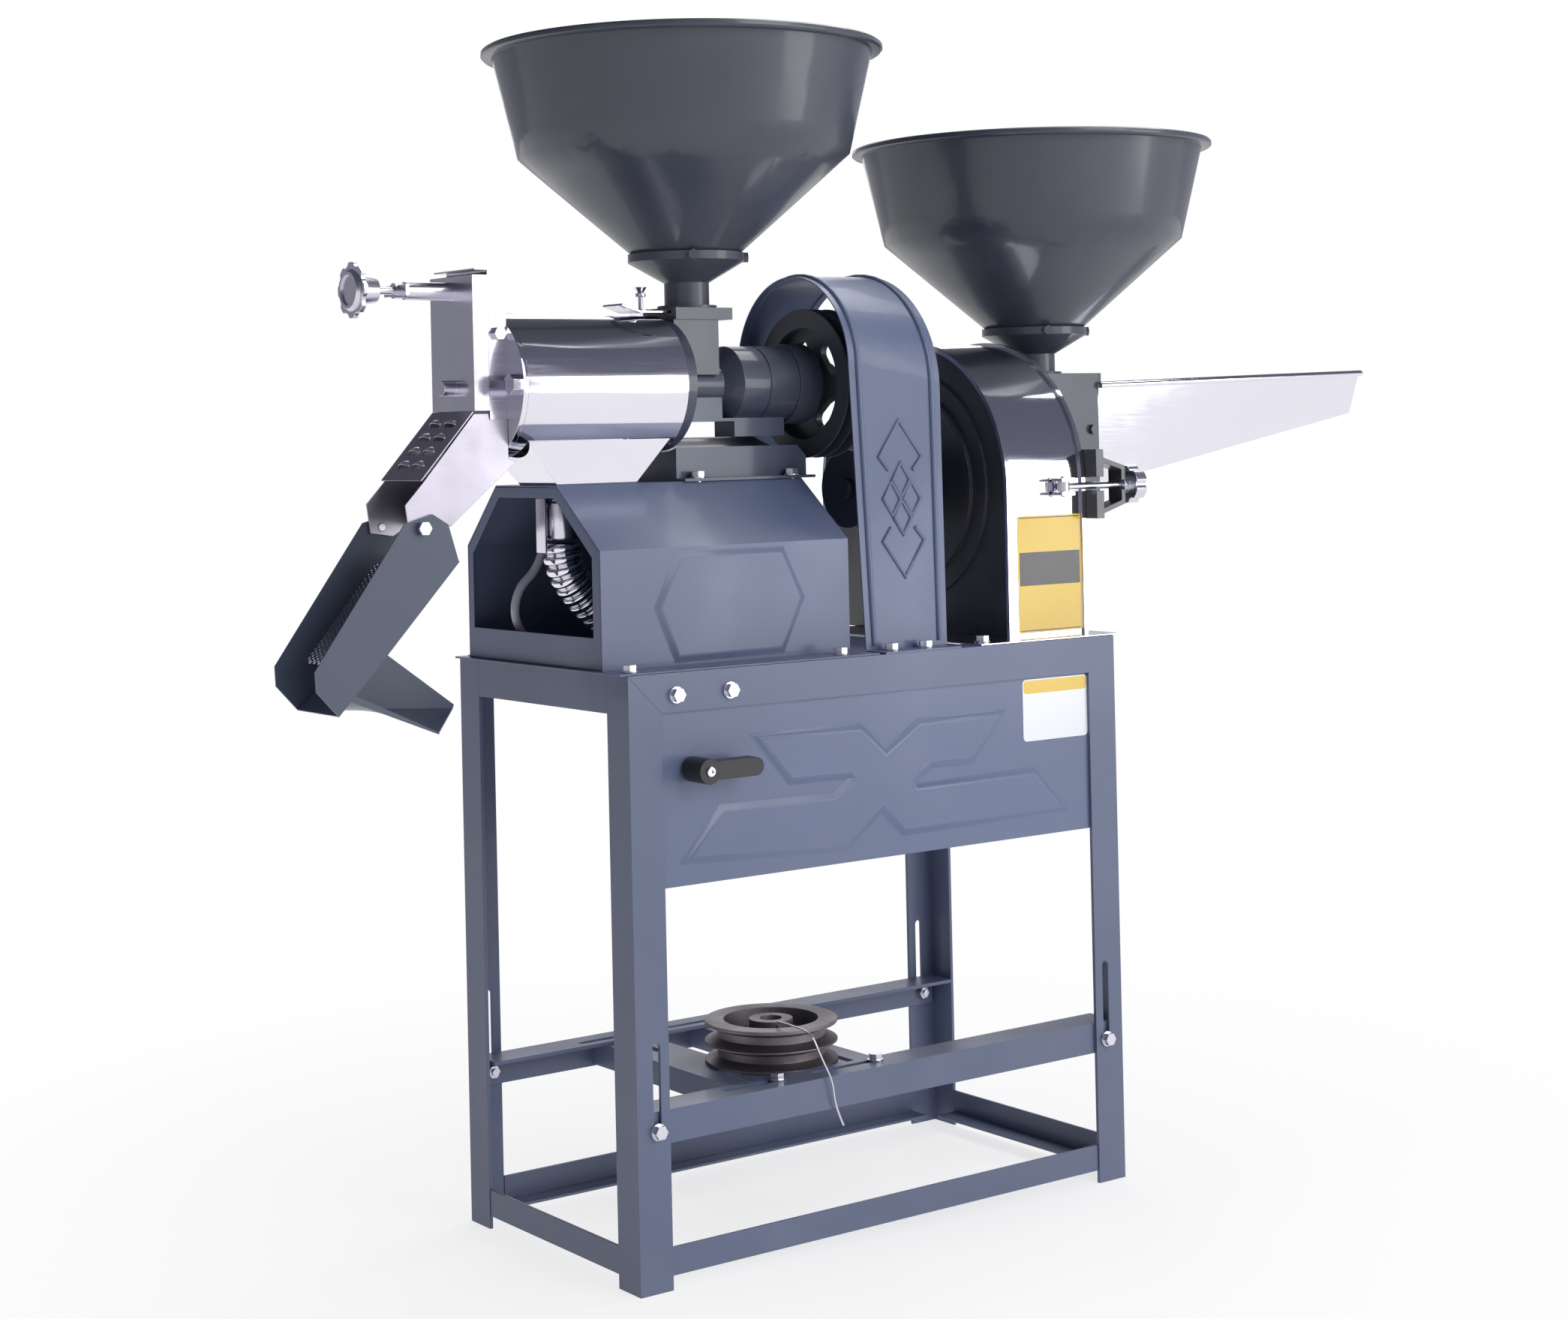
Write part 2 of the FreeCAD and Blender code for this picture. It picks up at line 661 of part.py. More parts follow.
def make_seat_bolts():
    pieces = []
    for number, left in enumerate((S.seat_left, S.seat_right)):
        for face in (-1, 1):
            pieces.append(flange_bolt(f"seat_bolt_{number}_{face + 1}", left + 43,
                                      138.0 * face, S.rail_top, Z_AXIS, 8.0))
    return pieces


def grooved_pulley(label, radius, width, left, hub, bore, holes, upright=False):
    """A cast belt pulley with two wedge grooves and a thin web.

    holes is how many openings the web has, half the angle each one spans, the angle of the
    first, and their width as a part of the web's.
    """
    def across(part):
        return left + width * part

    half_groove, deep = 0.2, 14.0
    rim = [(across(0), radius)]
    for middle in (0.28, 0.72):
        rim += [(across(middle - half_groove), radius),
                (across(middle - half_groove * 0.45), radius - deep),
                (across(middle + half_groove * 0.45), radius - deep),
                (across(middle + half_groove), radius)]
    rim += [(across(1), radius)]
    inner = radius - deep - 7
    profile = rim + [(across(1), inner), (across(0.62), inner), (across(0.62), hub),
                     (across(1), hub), (across(1), bore), (across(0), bore),
                     (across(0), hub), (across(0.38), hub), (across(0.38), inner),
                     (across(0), inner)]
    if upright:
        profile = [(r, a) for a, r in profile]
    pulley = new_body(label)
    spin_more(pulley, profile, upright)
    plane = "XY" if upright else "YZ"
    hole = new_sketch(pulley, plane, left)
    count, lean, turn, part = holes
    middle, wide = (value(hub) + value(inner)) / 2, (value(inner) - value(hub)) * part
    ends = [(middle * math.cos(math.radians(turn + side * lean)),
             middle * math.sin(math.radians(turn + side * lean))) for side in (-1, 1)]
    if lean:
        slot(hole, ends[0], ends[1], wide)
    else:
        circle(hole, ends[0][0], ends[0][1], wide / 2)
    feature = pocket(pulley, hole, width * 2, middle=True)
    polar(pulley, feature, hole, count)
    return pulley


keep(make_motor_rail("motor_rail_front", -1), make_motor_rail("motor_rail_back", 1),
     make_seat_bar("seat_bar_left", S.seat_left), make_seat_bar("seat_bar_right", S.seat_right),
     group("rail_bolts", make_rail_bolts() + make_seat_bolts()))
spare = grooved_pulley("spare_pulley", S.spare_radius, 46, 0.0, 24.0, S.spare_bore,
                       (6, 0, 0, 0.64), upright=True)
keep(place(spare, S.spare_along, S.spare_across, S.rail_top - S.rail_wall))
keep(plain_feature("tie_wire", tube([
    (-98, -83, 186), (-98, -84, 227), (-105, -104, 231), (-110, -160, 231),
    (-111, -169.5, 224),
    (-100, -169.5, 200), (-88, -169.5, 178), (-84, -168, 150), (-72, -166, 128)], 1.0)))


# ---------------------------------------------------------------------------------------
# Lever in the front panel
# ---------------------------------------------------------------------------------------
def make_lever():
    panel_front = S.stand_half_depth - S.angle_wall
    handle = new_body("lever_handle")
    hub = circle(new_sketch(handle, "XZ", panel_front + 3.5), 0.0, 0.0, S.lever_radius)
    pad(handle, hub, 32)
    grip = slot(new_sketch(handle, "XZ", panel_front + 17), (0.0, 0.0), (S.lever_reach - 9.5,
                0.0), 19)
    pad(handle, grip, 17)
    stem = circle(new_sketch(handle, "XZ", panel_front - 24), 0.0, 0.0, 5.0)
    pad(handle, stem, 30)
    cam = [(-12, -12), (12, -12), (30, -3), (30, 9), (12, 12), (-12, 12)]
    pad(handle, outline(new_sketch(handle, "XZ", panel_front - 24), cam), 10)
    return place(handle, S.lever_along, 0.0, S.lever_height)


keep(make_lever())


# ---------------------------------------------------------------------------------------
# Cabinet under the mill
# ---------------------------------------------------------------------------------------
BASE_BOLTS = [(-150, -35), (-23, -35), (-150, 77), (-23, 77)]


def make_cabinet_base():
    base = new_body("cabinet_base")
    low = S.stand_height
    sketch = outline(new_sketch(base, "XY", low), box_points(-341, -165, -8, 165))
    for bolt_x, bolt_y in TABLE_BOLTS:
        if bolt_x < -8:
            circle(sketch, bolt_x, bolt_y, S.hole_radius)
    pad(base, sketch, S.base_wall)
    return place(base)


def cabinet_line(inward=0.0):
    """The cover's outer line, front foot to back foot, seen along +X."""
    low = S.stand_height + S.base_wall
    front, back = S.cabinet_front + inward, S.cabinet_back - inward
    shoulder, top = S.cabinet_shoulder - inward * 0.5, S.cabinet_top - inward
    return [(front, low), (front, shoulder), (S.cabinet_ridge_front, top),
            (S.cabinet_ridge_back, top), (back, shoulder), (back, low)]


def make_cabinet_cover():
    cover = new_body("cabinet_cover")
    left, right = S.cabinet_left, S.cabinet_right
    skin = strip(list(reversed(cabinet_line())), S.sheet_wall)
    pad(cover, outline(new_sketch(cover, "YZ", left), skin), right - left)
    hexagon = [(-260, 682.5), (-238, 631.5), (-106, 632.5), (-80, 684), (-104, 732.5),
               (-234, 733)]
    raised = outline(new_sketch(cover, "XZ", -S.cabinet_front), hexagon)
    pad(cover, raised, 2.5)
    hollow = new_sketch(cover, "XZ", -S.cabinet_front - S.sheet_wall)
    pocket(cover, outline(hollow, inset(list(reversed(hexagon)), 1.5)), 2.5, reverse=True)
    drain = new_sketch(cover, "XY", S.cabinet_top)
    outline(drain, box_points(-329, -35, -230, 39))
    for x, y in BASE_BOLTS:
        circle(drain, x, y, S.hole_radius)
    pocket(cover, drain, S.sheet_wall * 4, middle=True)
    return place(cover)


def make_cabinet_wall(label, left, opening):
    """End sheet of the cabinet, inside the cover, with its opening if it has one."""
    wall = new_body(label)
    face = new_sketch(wall, "YZ", left)
    outline(face, cabinet_line(2.0))
    if opening:
        sill = S.cabinet_sill
        outline(face, [(-103, sill), (137, sill), (137, 736), (80, 797), (-32, 797),
                       (-103, 737)])
    pad(wall, face, S.sheet_wall)
    return place(wall)


keep(make_cabinet_base(), make_cabinet_cover(),
     make_cabinet_wall("cabinet_left_frame", S.cabinet_left, True),
     make_cabinet_wall("cabinet_right_wall", S.cabinet_right - S.sheet_wall, False))
union = spin("union_cone", [(0, 749), (17, 749), (17, 760), (8, 791), (8, 808), (0, 808)],
             upright=True)
place(union, -303.0, 0.0, 0.0)
strap = block("union_strap", -329.0, -326.5, -9.0, 9.0, 739.0, 797.0)
arm = block("union_arm", -326.5, -303.0, -3.0, 3.0, 790.0, 796.0)
keep(fuse("pipe_union", [union, strap, arm]))
bellows_line = [(-303, 0, 748.8), (-303, 0, 728), (-286, 0, 700), (-262, 0, 676),
                (-236, 0, 656), (-224, 0, 640), (-224, 0, 622.2)]
keep(plain_feature("bran_pipe", tube(bellows_line, 22.0)))
hose_line = [(-268, 70, 806), (-281, 70, 742), (-294, 70, 716), (-312, 70, 702),
             (-320, 70, 684), (-320, 70, 666), (-312, 70, 650), (-302, 70, 638),
             (-302, 70, 622.2)]
keep(plain_feature("hose", tube(hose_line, 4.8)))


# ---------------------------------------------------------------------------------------
# Mill
# ---------------------------------------------------------------------------------------
def make_mill_base():
    base = new_body("base_box")
    low = S.cabinet_top
    foot = outline(new_sketch(base, "XY", low), box_points(-171, -42, 5, 84))
    for x, y in BASE_BOLTS:
        circle(foot, x, y, S.hole_radius)
    pad(base, foot, 3)
    side = [(-171, low), (5, low), (5, 834), (-17, 857), (-171, 857)]
    pad(base, outline(new_sketch(base, "XZ", 25.0), side), 92, reverse=True)
    saddle = new_sketch(base, "YZ", -200.0)
    circle(saddle, 0.0, S.mill_height, S.end_flange_radius + 1)
    pocket(base, saddle, 400, middle=True)
    return place(base)


def make_bearing_housing():
    bore, seat = S.shaft_radius + S.running_gap, S.screw_radius + 1.5
    left, neck = S.flange_right, S.neck_radius
    rim = S.end_flange_radius
    profile = [(S.drum_right, seat), (S.drum_right, rim), (left, rim), (left, neck),
               (S.neck_right, neck), (-89, S.housing_radius),
               (-54, S.housing_radius), (-54, 40.5), (-52, 40.5), (-52, S.housing_radius),
               (-14, S.housing_radius), (-14, S.housing_rim), (S.housing_right, S.housing_rim),
               (S.housing_right, bore), (-106, bore), (-106, seat)]
    housing = new_body("bearing_housing")
    spin_more(housing, profile)
    mouth = circle(new_sketch(housing, "XY"), S.feed_along, 0.0, 16.0)
    pocket(housing, mouth, 40, reverse=True)
    return place(housing, 0.0, 0.0, S.mill_height)


def make_pedestal():
    """Cast web that carries the bearing housing on the base box."""
    web = new_body("mill_pedestal")
    low = 857
    pad(web, outline(new_sketch(web, "XZ", 19.0), [
        (-88, low), (-20, low), (-20, 905), (-165, 905), (-165, 874), (-88, 874)]), 38,
        reverse=True)
    barrel = circle(new_sketch(web, "YZ", -104.0), 0.0, S.mill_height, S.housing_radius)
    pocket(web, barrel, 150, reverse=True)
    neck = circle(new_sketch(web, "YZ", -200.0), 0.0, S.mill_height, S.neck_radius)
    pocket(web, neck, 150, reverse=True)
    return place(web)


keep(make_bearing_housing())


def make_feed_throat():
    throat = new_body("throat_block")
    half = S.throat_half
    footprint = box_points(S.throat_left, -half, S.throat_right - 19, half)
    base = outline(new_sketch(throat, "XY", S.throat_low), footprint)
    circle(base, S.feed_along, 0.0, 16.0)
    pad(throat, base, S.feed_flange_low - S.throat_low)
    saddle = circle(new_sketch(throat, "YZ", -300.0), 0.0, S.mill_height, S.neck_radius)
    pocket(throat, saddle, 800, middle=True)
    return place(throat)


def make_feed_flange():
    """Plate on the throat with a flat guide through which the feed gate slides."""
    flange = new_body("feed_flange")
    low, half = S.feed_flange_low, 32
    plan = box_points(-172, -half, -97, half)
    base = outline(new_sketch(flange, "XY", low), plan)
    circle(base, S.feed_along, 0.0, 16.0)
    pad(flange, base, S.feed_flange_high - low)
    guide = outline(new_sketch(flange, "XZ"), box_points(-180, low + 7, -112, low + 10))
    pocket(flange, guide, 46, middle=True)
    return place(flange)


def make_feed_gate():
    """Sliding tongue with a tab tilted up at its end and a thumb screw standing on it."""
    low = value(S.feed_flange_low) + 7.2
    side = [(-113, low), (-113, low + 2.6), (-209, low + 2.6), (-232, low + 10),
            (-233, low + 7.6), (-209.4, low)]
    wire = Part.makePolygon([Vector(x, -19, z) for x, z in side + side[:1]])
    tongue = Part.Face(wire).extrude(Vector(0, 38, 0))
    for radius, base, height in ((9, 2.4, 2.2), (2.6, 4, 18), (5.5, 18, 4)):
        tongue = tongue.fuse(Part.makeCylinder(radius, height, Vector(-196, 0, low + base)))
    head = Part.makeCone(2.6, 7, 7, Vector(-196, 0, low + 21.5))
    return plain_feature("feed_gate", tongue.fuse(head))


keep(group("feed_throat", [make_feed_throat(), make_feed_flange()]), make_feed_gate())


def make_collar(label, along, across, low, tube_height):
    """Neck tube with a cone and an upright band that carries the hopper."""
    r, wall = value(S.tube_radius), value(S.tube_wall)
    high, top = value(tube_height), value(tube_height) + value(S.collar_height)
    wide = value(S.collar_radius)
    face = [(r + 8, 0), (r + 8, 3), (r, 3), (r, high), (wide, top - 9), (wide, top)]
    inner = [(wide - wall, top), (wide - wall, top - 8), (r - wall, high + 1), (r - wall, 0)]
    cone = spin(label + "_cone", face + inner, upright=True)
    place(cone, along, across, low)
    screws = []
    for number, turn in enumerate((-118, -28)):
        away = Vector(math.cos(math.radians(turn)), math.sin(math.radians(turn)), 0)
        spot = away * (wide - 1) + Vector(value(along), value(across), 0)
        screws.append(prism(f"{label}_screw_{number}", 6.0, 5.5, spot.x, spot.y,
                            low + (top - 4.6), away))
    return fuse(label, [cone] + screws)


def make_hopper(label, along, across, low):
    wall = S.hopper_wall
    line = [(S.hopper_mouth_radius, 0.0), (S.hopper_fold_radius, S.hopper_fold_height),
            (S.hopper_wall_radius, S.hopper_height - 8),
            (S.hopper_radius - 2.5, S.hopper_height - 8), (S.hopper_radius,
             S.hopper_height - 6), (S.hopper_radius, S.hopper_height - 2),
            (S.hopper_radius - 2, S.hopper_height),
            (S.hopper_wall_radius - 1.5, S.hopper_height),
            (S.hopper_fold_radius - 1.2, S.hopper_fold_height + 0.6),
            (S.hopper_mouth_radius - wall, 0.5)]
    return place(spin(label, line, upright=True), along, across, low)


left_top = S.feed_flange_high + S.tube_height + S.collar_height
keep(make_collar("hopper_collar_left", S.feed_along, 0.0, S.feed_flange_high, S.tube_height),
     make_hopper("hopper_left", S.feed_along, 0.0, left_top))


def make_drum():
    drum = new_body("drum_cover")
    left, right = S.drum_left, S.drum_right
    outer, inner = S.drum_radius, S.drum_radius - S.sheet_wall
    spin_more(drum, [(left, inner), (left, outer), (right, outer), (right, inner)])
    slotline = new_sketch(drum, "XY")
    outline(slotline, box_points(-371, -48, -192, 48))
    pocket(drum, slotline, 90)
    bar = new_sketch(drum, "XY", outer - 2)
    outline(bar, box_points(-378, -6, -215, 6))
    for x in (-360, -320, -280, -240):
        slot(bar, (x, 0), (x + 12, 0), 3.5)
    pad(drum, bar, 3)
    return place(drum, 0.0, 0.0, S.mill_height)


def make_bran_hopper():
    """Four-sided funnel from the drum's open underside to the cabinet's top."""
    def ring(z, x0, x1, y0, y1):
        corners = [Vector(x0, y0, z), Vector(x1, y0, z), Vector(x1, y1, z), Vector(x0, y1, z)]
        return Part.makePolygon(corners + corners[:1])

    wall, low, high = 1.5, value(S.cabinet_top), 858.5
    outer = Part.makeLoft([ring(low, -329, -230, -35, 39), ring(high, -371, -192, -48, 48)],
                          True, True)
    inner = Part.makeLoft([ring(low - 0.01, -329 + wall, -230 - wall, -35 + wall, 39 - wall),
                           ring(high + 0.01, -371 + wall, -192 - wall, -48 + wall,
                                48 - wall)], True, True)
    drum = Part.makeCylinder(value(S.drum_radius), 400, Vector(-500, 0, value(S.mill_height)),
                             X_AXIS)
    return plain_feature("bran_hopper", outer.cut(inner).cut(drum))


def make_screen():
    """Hexagonal bran screen with rows of long slots."""
    screen = new_body("bran_screen")
    r = S.screen_radius
    ring = [(value(r) * math.cos(math.radians(60 * i)), value(r) * math.sin(
             math.radians(60 * i))) for i in range(6)]
    face = outline(new_sketch(screen, "YZ", S.drum_left), ring)
    outline(face, inset(list(reversed(ring)), 2.0))
    pad(screen, face, S.drum_right - S.drum_left)
    gap = new_sketch(screen, "XY")
    for row in range(6):
        x = -365 + row * 29
        slot(gap, (x, -12), (x + 20, 12), 4)
    pocket(screen, gap)
    return place(screen, 0.0, 0.0, S.mill_height)


keep(fuse("mill_base", [make_mill_base(), make_pedestal()]))
keep(make_drum(), make_bran_hopper(), make_screen())
end_plate = new_body("end_disc")
end_face = circle(new_sketch(end_plate, "YZ", S.drum_left - 6), 0.0, 0.0, S.drum_radius)
circle(end_face, 0.0, 0.0, 30.0)
pad(end_plate, end_face, 6)
place(end_plate, 0.0, 0.0, S.mill_height)
end_bolts = []
for number, y in enumerate((-67.0, 67.0)):
    end_bolts.append(prism(f"end_bolt_{number}", 10.8, 13, S.drum_left - 6, y,
                           S.mill_height, X_AXIS * -1))
keep(fuse("drum_end_plate", [end_plate] + end_bolts))

keep(place(spin("mill_shaft", [(-372, 0), (-372, 12.5), (66, 12.5), (66, 0)]), 0.0, 0.0,
           S.mill_height))


def make_roller():
    """Milling roller with four straight ribs and a conveying screw under the feed."""
    roller = new_body("screw_roller")
    core, ribbed = 15.0, S.roller_radius
    bore = S.shaft_radius
    profile = [(-370, bore), (-370, ribbed - 5), (-198, ribbed - 5), (-189, core + 2),
               (-110, core), (-110, bore)]
    spin_more(roller, profile)
    rib = new_sketch(roller, "YZ", -368.0)
    outline(rib, box_points(value(ribbed) - 7, -4, value(ribbed), 4))
    feature = pad(roller, rib, 176)
    polar(roller, feature, rib, 4)
    return place(roller, 0.0, 0.0, S.mill_height)


keep(make_roller())
mill_pulley = grooved_pulley("mill_pulley", S.pulley_radius, S.pulley_width, S.pulley_left,
                             24.0, S.shaft_radius, (4, 15, 143, 0.46))
keep(place(mill_pulley, 0.0, 0.0, S.mill_height))


# ---------------------------------------------------------------------------------------
# Rice outlet and chutes
# ---------------------------------------------------------------------------------------
casing = block("casing_body", -412.0, S.drum_left - 6, -S.outlet_half, S.outlet_half, 880.0,
               S.outlet_top)
casing_room = block("casing_room", -420.0, S.drum_left - 8, -S.outlet_half + 2,
                    S.outlet_half - 2, 870.0, S.outlet_top - 2)
casing_bore = cylinder("casing_bore", 30.0, 40, -420.0, 0.0, S.mill_height, X_AXIS)
casing_pin = cylinder("casing_pin_hole", 4.06, 100, S.gate_pivot_along, -50.0,
                      S.gate_pivot_height, Y_AXIS)
casing_roof = block("casing_roof", -427.0, -386.0, -S.outlet_half, S.outlet_half,
                    S.outlet_top, S.outlet_top + 1.5)
casing_shell = cut("casing_shell", casing, fuse("casing_cuts", [casing_room, casing_bore,
                                                                 casing_pin]))
keep(fuse("outlet_casing", [casing_shell, casing_roof]))


def make_outlet_door():
    """Folded cover over the outlet with the threaded tube of the pressure screw."""
    half = value(S.outlet_half) + 1.5
    outer = Part.makeBox(18, 2 * half, 139, Vector(-431, -half, 889))
    room = Part.makeBox(18, 2 * half - 3, 137.5, Vector(-429.5, -half + 1.5, 888))
    level = value(S.screw_height)
    pipe = Part.makeCylinder(9.3, 55, Vector(-486, 0, level), X_AXIS)
    pipe = pipe.cut(Part.makeCylinder(7.5, 50, Vector(-482, 0, level), X_AXIS))
    bore = Part.makeCylinder(4.06, 80, Vector(-490, 0, level), X_AXIS)
    nut = Part.makeCylinder(8, 14, Vector(-445, 0, 913), X_AXIS)
    return plain_feature("outlet_door", outer.cut(room).fuse([pipe, nut]).cut(bore))


def make_pressure_gate():
    """Swinging plate that holds the rice back, on its own pin with a nut at each end."""
    along, high = value(S.gate_pivot_along), value(S.gate_pivot_height)
    leaf = Part.makeBox(3, 76, 84, Vector(along + 1.5, -38, 884))
    arm = Part.makeBox(3, 20, 60, Vector(along - 3, -10, 962))
    pin = Part.makeCylinder(4, 96, Vector(along, -48, high), Y_AXIS)
    pieces = [arm, pin]
    for y in (-48.4, 42.2):
        corners = [Vector(along + 7.2 * math.cos(math.radians(60 * i)), y,
                          high + 7.2 * math.sin(math.radians(60 * i))) for i in range(7)]
        pieces.append(Part.Face(Part.makePolygon(corners)).extrude(Vector(0, 6.2, 0)))
    return plain_feature("pressure_gate", leaf.fuse(pieces))


def make_pressure_screw():
    """Rod, hub and scalloped hand disc that set the pressure on the gate."""
    level = value(S.screw_height)
    rod = Part.makeCylinder(4, 134, Vector(-540, 0, level), X_AXIS)
    hub = Part.makeCone(16, 12.7, 22, Vector(-541, 0, level), X_AXIS)
    disc = Part.makeCylinder(28.4, 5, Vector(-546, 0, level), X_AXIS)
    for number in range(8):
        turn = math.radians(45 * number + 22.5)
        spot = Vector(-550, 33.5 * math.cos(turn), level + 33.5 * math.sin(turn))
        disc = disc.cut(Part.makeCylinder(8.5, 20, spot, X_AXIS))
    boss = Part.makeCone(19, 21, 4, Vector(-550, 0, level), X_AXIS)
    boss = boss.cut(Part.makeCylinder(15, 2.5, Vector(-550.5, 0, level), X_AXIS))
    return plain_feature("pressure_screw", rod.fuse([hub, disc, boss]))


def make_wing_nut():
    level = value(S.screw_height)
    nut = Part.makeCylinder(8, 10, Vector(-498, 0, level), X_AXIS)
    wings = Part.makeBox(4, 46, 11, Vector(-496, -23, level - 5.5))
    bore = Part.makeCylinder(4.06, 30, Vector(-505, 0, level), X_AXIS)
    return plain_feature("wing_nut", nut.fuse(wings).cut(bore))


keep(make_outlet_door(), make_pressure_gate(), make_pressure_screw(), make_wing_nut())


def side_pair(points, wall, half, holes=()):
    """Two matching cheek plates at y = -half and +half, thickened inward."""
    cheeks = []
    for y in (-half, half - wall):
        wire = Part.makePolygon([Vector(a, y, b) for a, b in points + points[:1]])
        cheek = Part.Face(wire).extrude(Vector(0, wall, 0))
        for a, b, radius in holes:
            cheek = cheek.cut(Part.makeCylinder(radius, 4 * wall,
                                                Vector(a, y - wall, b), Y_AXIS))
        cheeks.append(cheek)
    return cheeks


def bridge(points, wall, half):
    """A bent sheet that spans between the cheeks."""
    section = strip(points, wall)
    wire = Part.makePolygon([Vector(a, -half, b) for a, b in section + section[:1]])
    return Part.Face(wire).extrude(Vector(0, 2 * half, 0))


def make_upper_chute():
    pivot = (value(S.chute_pivot_along), value(S.chute_pivot_height))
    cheek = [(-414, 886), (-431, 886), (-491, 818), (-512, 796), (-508, 766), (-482, 762),
             (-461, 774), (-384, 837), (-391.2, 839.5), (-391.2, 880), (-413, 880)]
    cheeks = side_pair(cheek, 1.5, 42.0, [(pivot[0], pivot[1], 4.2)])
    floor = bridge([(-384, 837), (-461, 774)], 1.5, 42.0)
    louvre = bridge([(-493, 819), (-431, 888)], 1.5, 42.0)
    for row in range(4):
        for across in (-15, 15):
            run = (row + 1) / 5
            spot = Vector(-493 + 62 * run, across, 819 + 69 * run)
            vent = Part.makeBox(30, 20, 6, Vector(-15, -10, -3))
            vent.rotate(Vector(0, 0, 0), Y_AXIS, 45)
            vent.translate(spot)
            louvre = louvre.cut(vent)
    return plain_feature("upper_chute", cheeks[0].fuse([cheeks[1], floor, louvre]))


def make_lower_chute():
    pivot = (value(S.chute_pivot_along), value(S.chute_pivot_height))
    half = value(S.chute_half)
    cheek = [(-515, 777), (-483, 786), (-465, 775), (-454, 738), (-537, 650), (-593, 592),
             (-616, 617), (-617, 637)]
    cheeks = side_pair(cheek, 1.5, half, [(pivot[0], pivot[1], 4.06)])
    screen = bridge([(-590, 639), (-503.6, 739.6)], 1.5, half)
    floor = bridge([(-454, 738), (-537, 650), (-593, 592)], 1.5, half)
    near = Part.makeLine(Vector(-578, -38, 606.6), Vector(-477.5, -38, 565.5))
    fold = Part.makeLine(Vector(-589.5, 14, 594.4), Vector(-431.4, 14, 583))
    trough = Part.makeRuledSurface(near, fold).extrude(Vector(0, 0, -1.5))
    fin = [(-589.9, 592.9), (-431.4, 581.5), (-429.5, 586.7), (-527.6, 659), (-536.6, 649.5)]
    lip = [(-578, 605.1), (-477.5, 564), (-477.5, 566), (-564, 606.8), (-574, 610.8)]
    spout = [trough]
    for points, y in ((fin, 14), (lip, -39.5)):
        wire = Part.makePolygon([Vector(a, y, b) for a, b in points + points[:1]])
        spout.append(Part.Face(wire).extrude(Vector(0, 1.5, 0)))
    return plain_feature("lower_chute", cheeks[0].fuse([cheeks[1], floor] + spout)), \
        plain_feature("chute_sieve", screen.common(Part.makeBox(
            200, 2 * half - 3, 200, Vector(-650, -half + 1.5, 600))))


keep(make_upper_chute(), *make_lower_chute())
pivots = []
for face in (-1, 1):
    start = -46.5 if face < 0 else 46.5
    pivots.append(cylinder(f"chute_pin_{face + 1}", 4.0, 7, S.chute_pivot_along, start,
                           S.chute_pivot_height, Y_AXIS * -face))
    pivots.append(prism(f"chute_head_{face + 1}", 7.5, 6, S.chute_pivot_along, start,
                        S.chute_pivot_height, Y_AXIS * face))
for number, (x, y) in enumerate(BASE_BOLTS):
    pivots.append(flange_bolt(f"base_bolt_{number}", x, y, S.cabinet_top + 3, Z_AXIS, 4.5,
                              nut=False))
keep(group("machine_bolts", make_panel_bolts() + make_table_bolts() + pivots))


# ---------------------------------------------------------------------------------------
# Belt guard between the two machines
# ---------------------------------------------------------------------------------------
def make_belt_guard():
    left, right = value(S.guard_left), value(S.guard_right)
    wall, low = value(S.guard_wall), value(S.stand_height) + 2
    small = arch_wire(left, (-9, 932), 103, (-132, 132), low, wall)
    large = arch_wire(right, (0, 905), 132, (-135, 135), low, wall)
    skin = Part.makeLoft([small, large], True, True)
    feet = [Part.makeBox(right - 6, 34, 2, Vector(left, y, low - 2)) for y in (-166, 132)]
    for bolt_x, bolt_y in TABLE_BOLTS:
        if left < bolt_x < right:
            hole = Part.makeCylinder(4.5, 6, Vector(bolt_x, bolt_y, low - 4))
            feet = [foot.cut(hole) for foot in feet]
    return plain_feature("belt_guard", skin.fuse(feet))


keep(make_belt_guard())


# ---------------------------------------------------------------------------------------
# Crusher
# ---------------------------------------------------------------------------------------
def make_crusher_wrap():
    across, high = value(S.crusher_across), value(S.crusher_height)
    r, low = value(S.crusher_radius), value(S.stand_height) + 2
    left, right = value(S.crusher_left), value(S.crusher_right)

    def band(x0, x1, reach, wall):
        out = r + reach
        ends = [arch_wire(x, (across, high), out, (across - out, across + out), low, wall)
                for x in (x0, x1)]
        return Part.makeLoft(ends, True, True)

    return band(left, right, 0.0, 2.0).fuse([band(left - 2, left + 3.5, 3, 4.9),
                                             band(right - 4, right + 1.5, 3, 4.9)])


def crusher_plate(left, thickness, radius, bore):
    """Arched side plate that closes the wrap, down to the table."""
    across, high = value(S.crusher_across), value(S.crusher_height)
    low = value(S.stand_height) + 2
    x, r = value(left), radius
    arc = Part.Arc(Vector(x, across - r, high), Vector(x, across, high + r),
                   Vector(x, across + r, high)).toShape()
    a, b = Vector(x, across + r, low), Vector(x, across - r, low)
    edges = [arc, Part.makeLine(Vector(x, across + r, high), a), Part.makeLine(a, b),
             Part.makeLine(b, Vector(x, across - r, high))]
    shape = Part.Face(Part.Wire(edges)).extrude(Vector(thickness, 0, 0))
    hole = Part.makeCylinder(bore, 4 * thickness, Vector(x - thickness, across, high), X_AXIS)
    return shape.cut(hole)


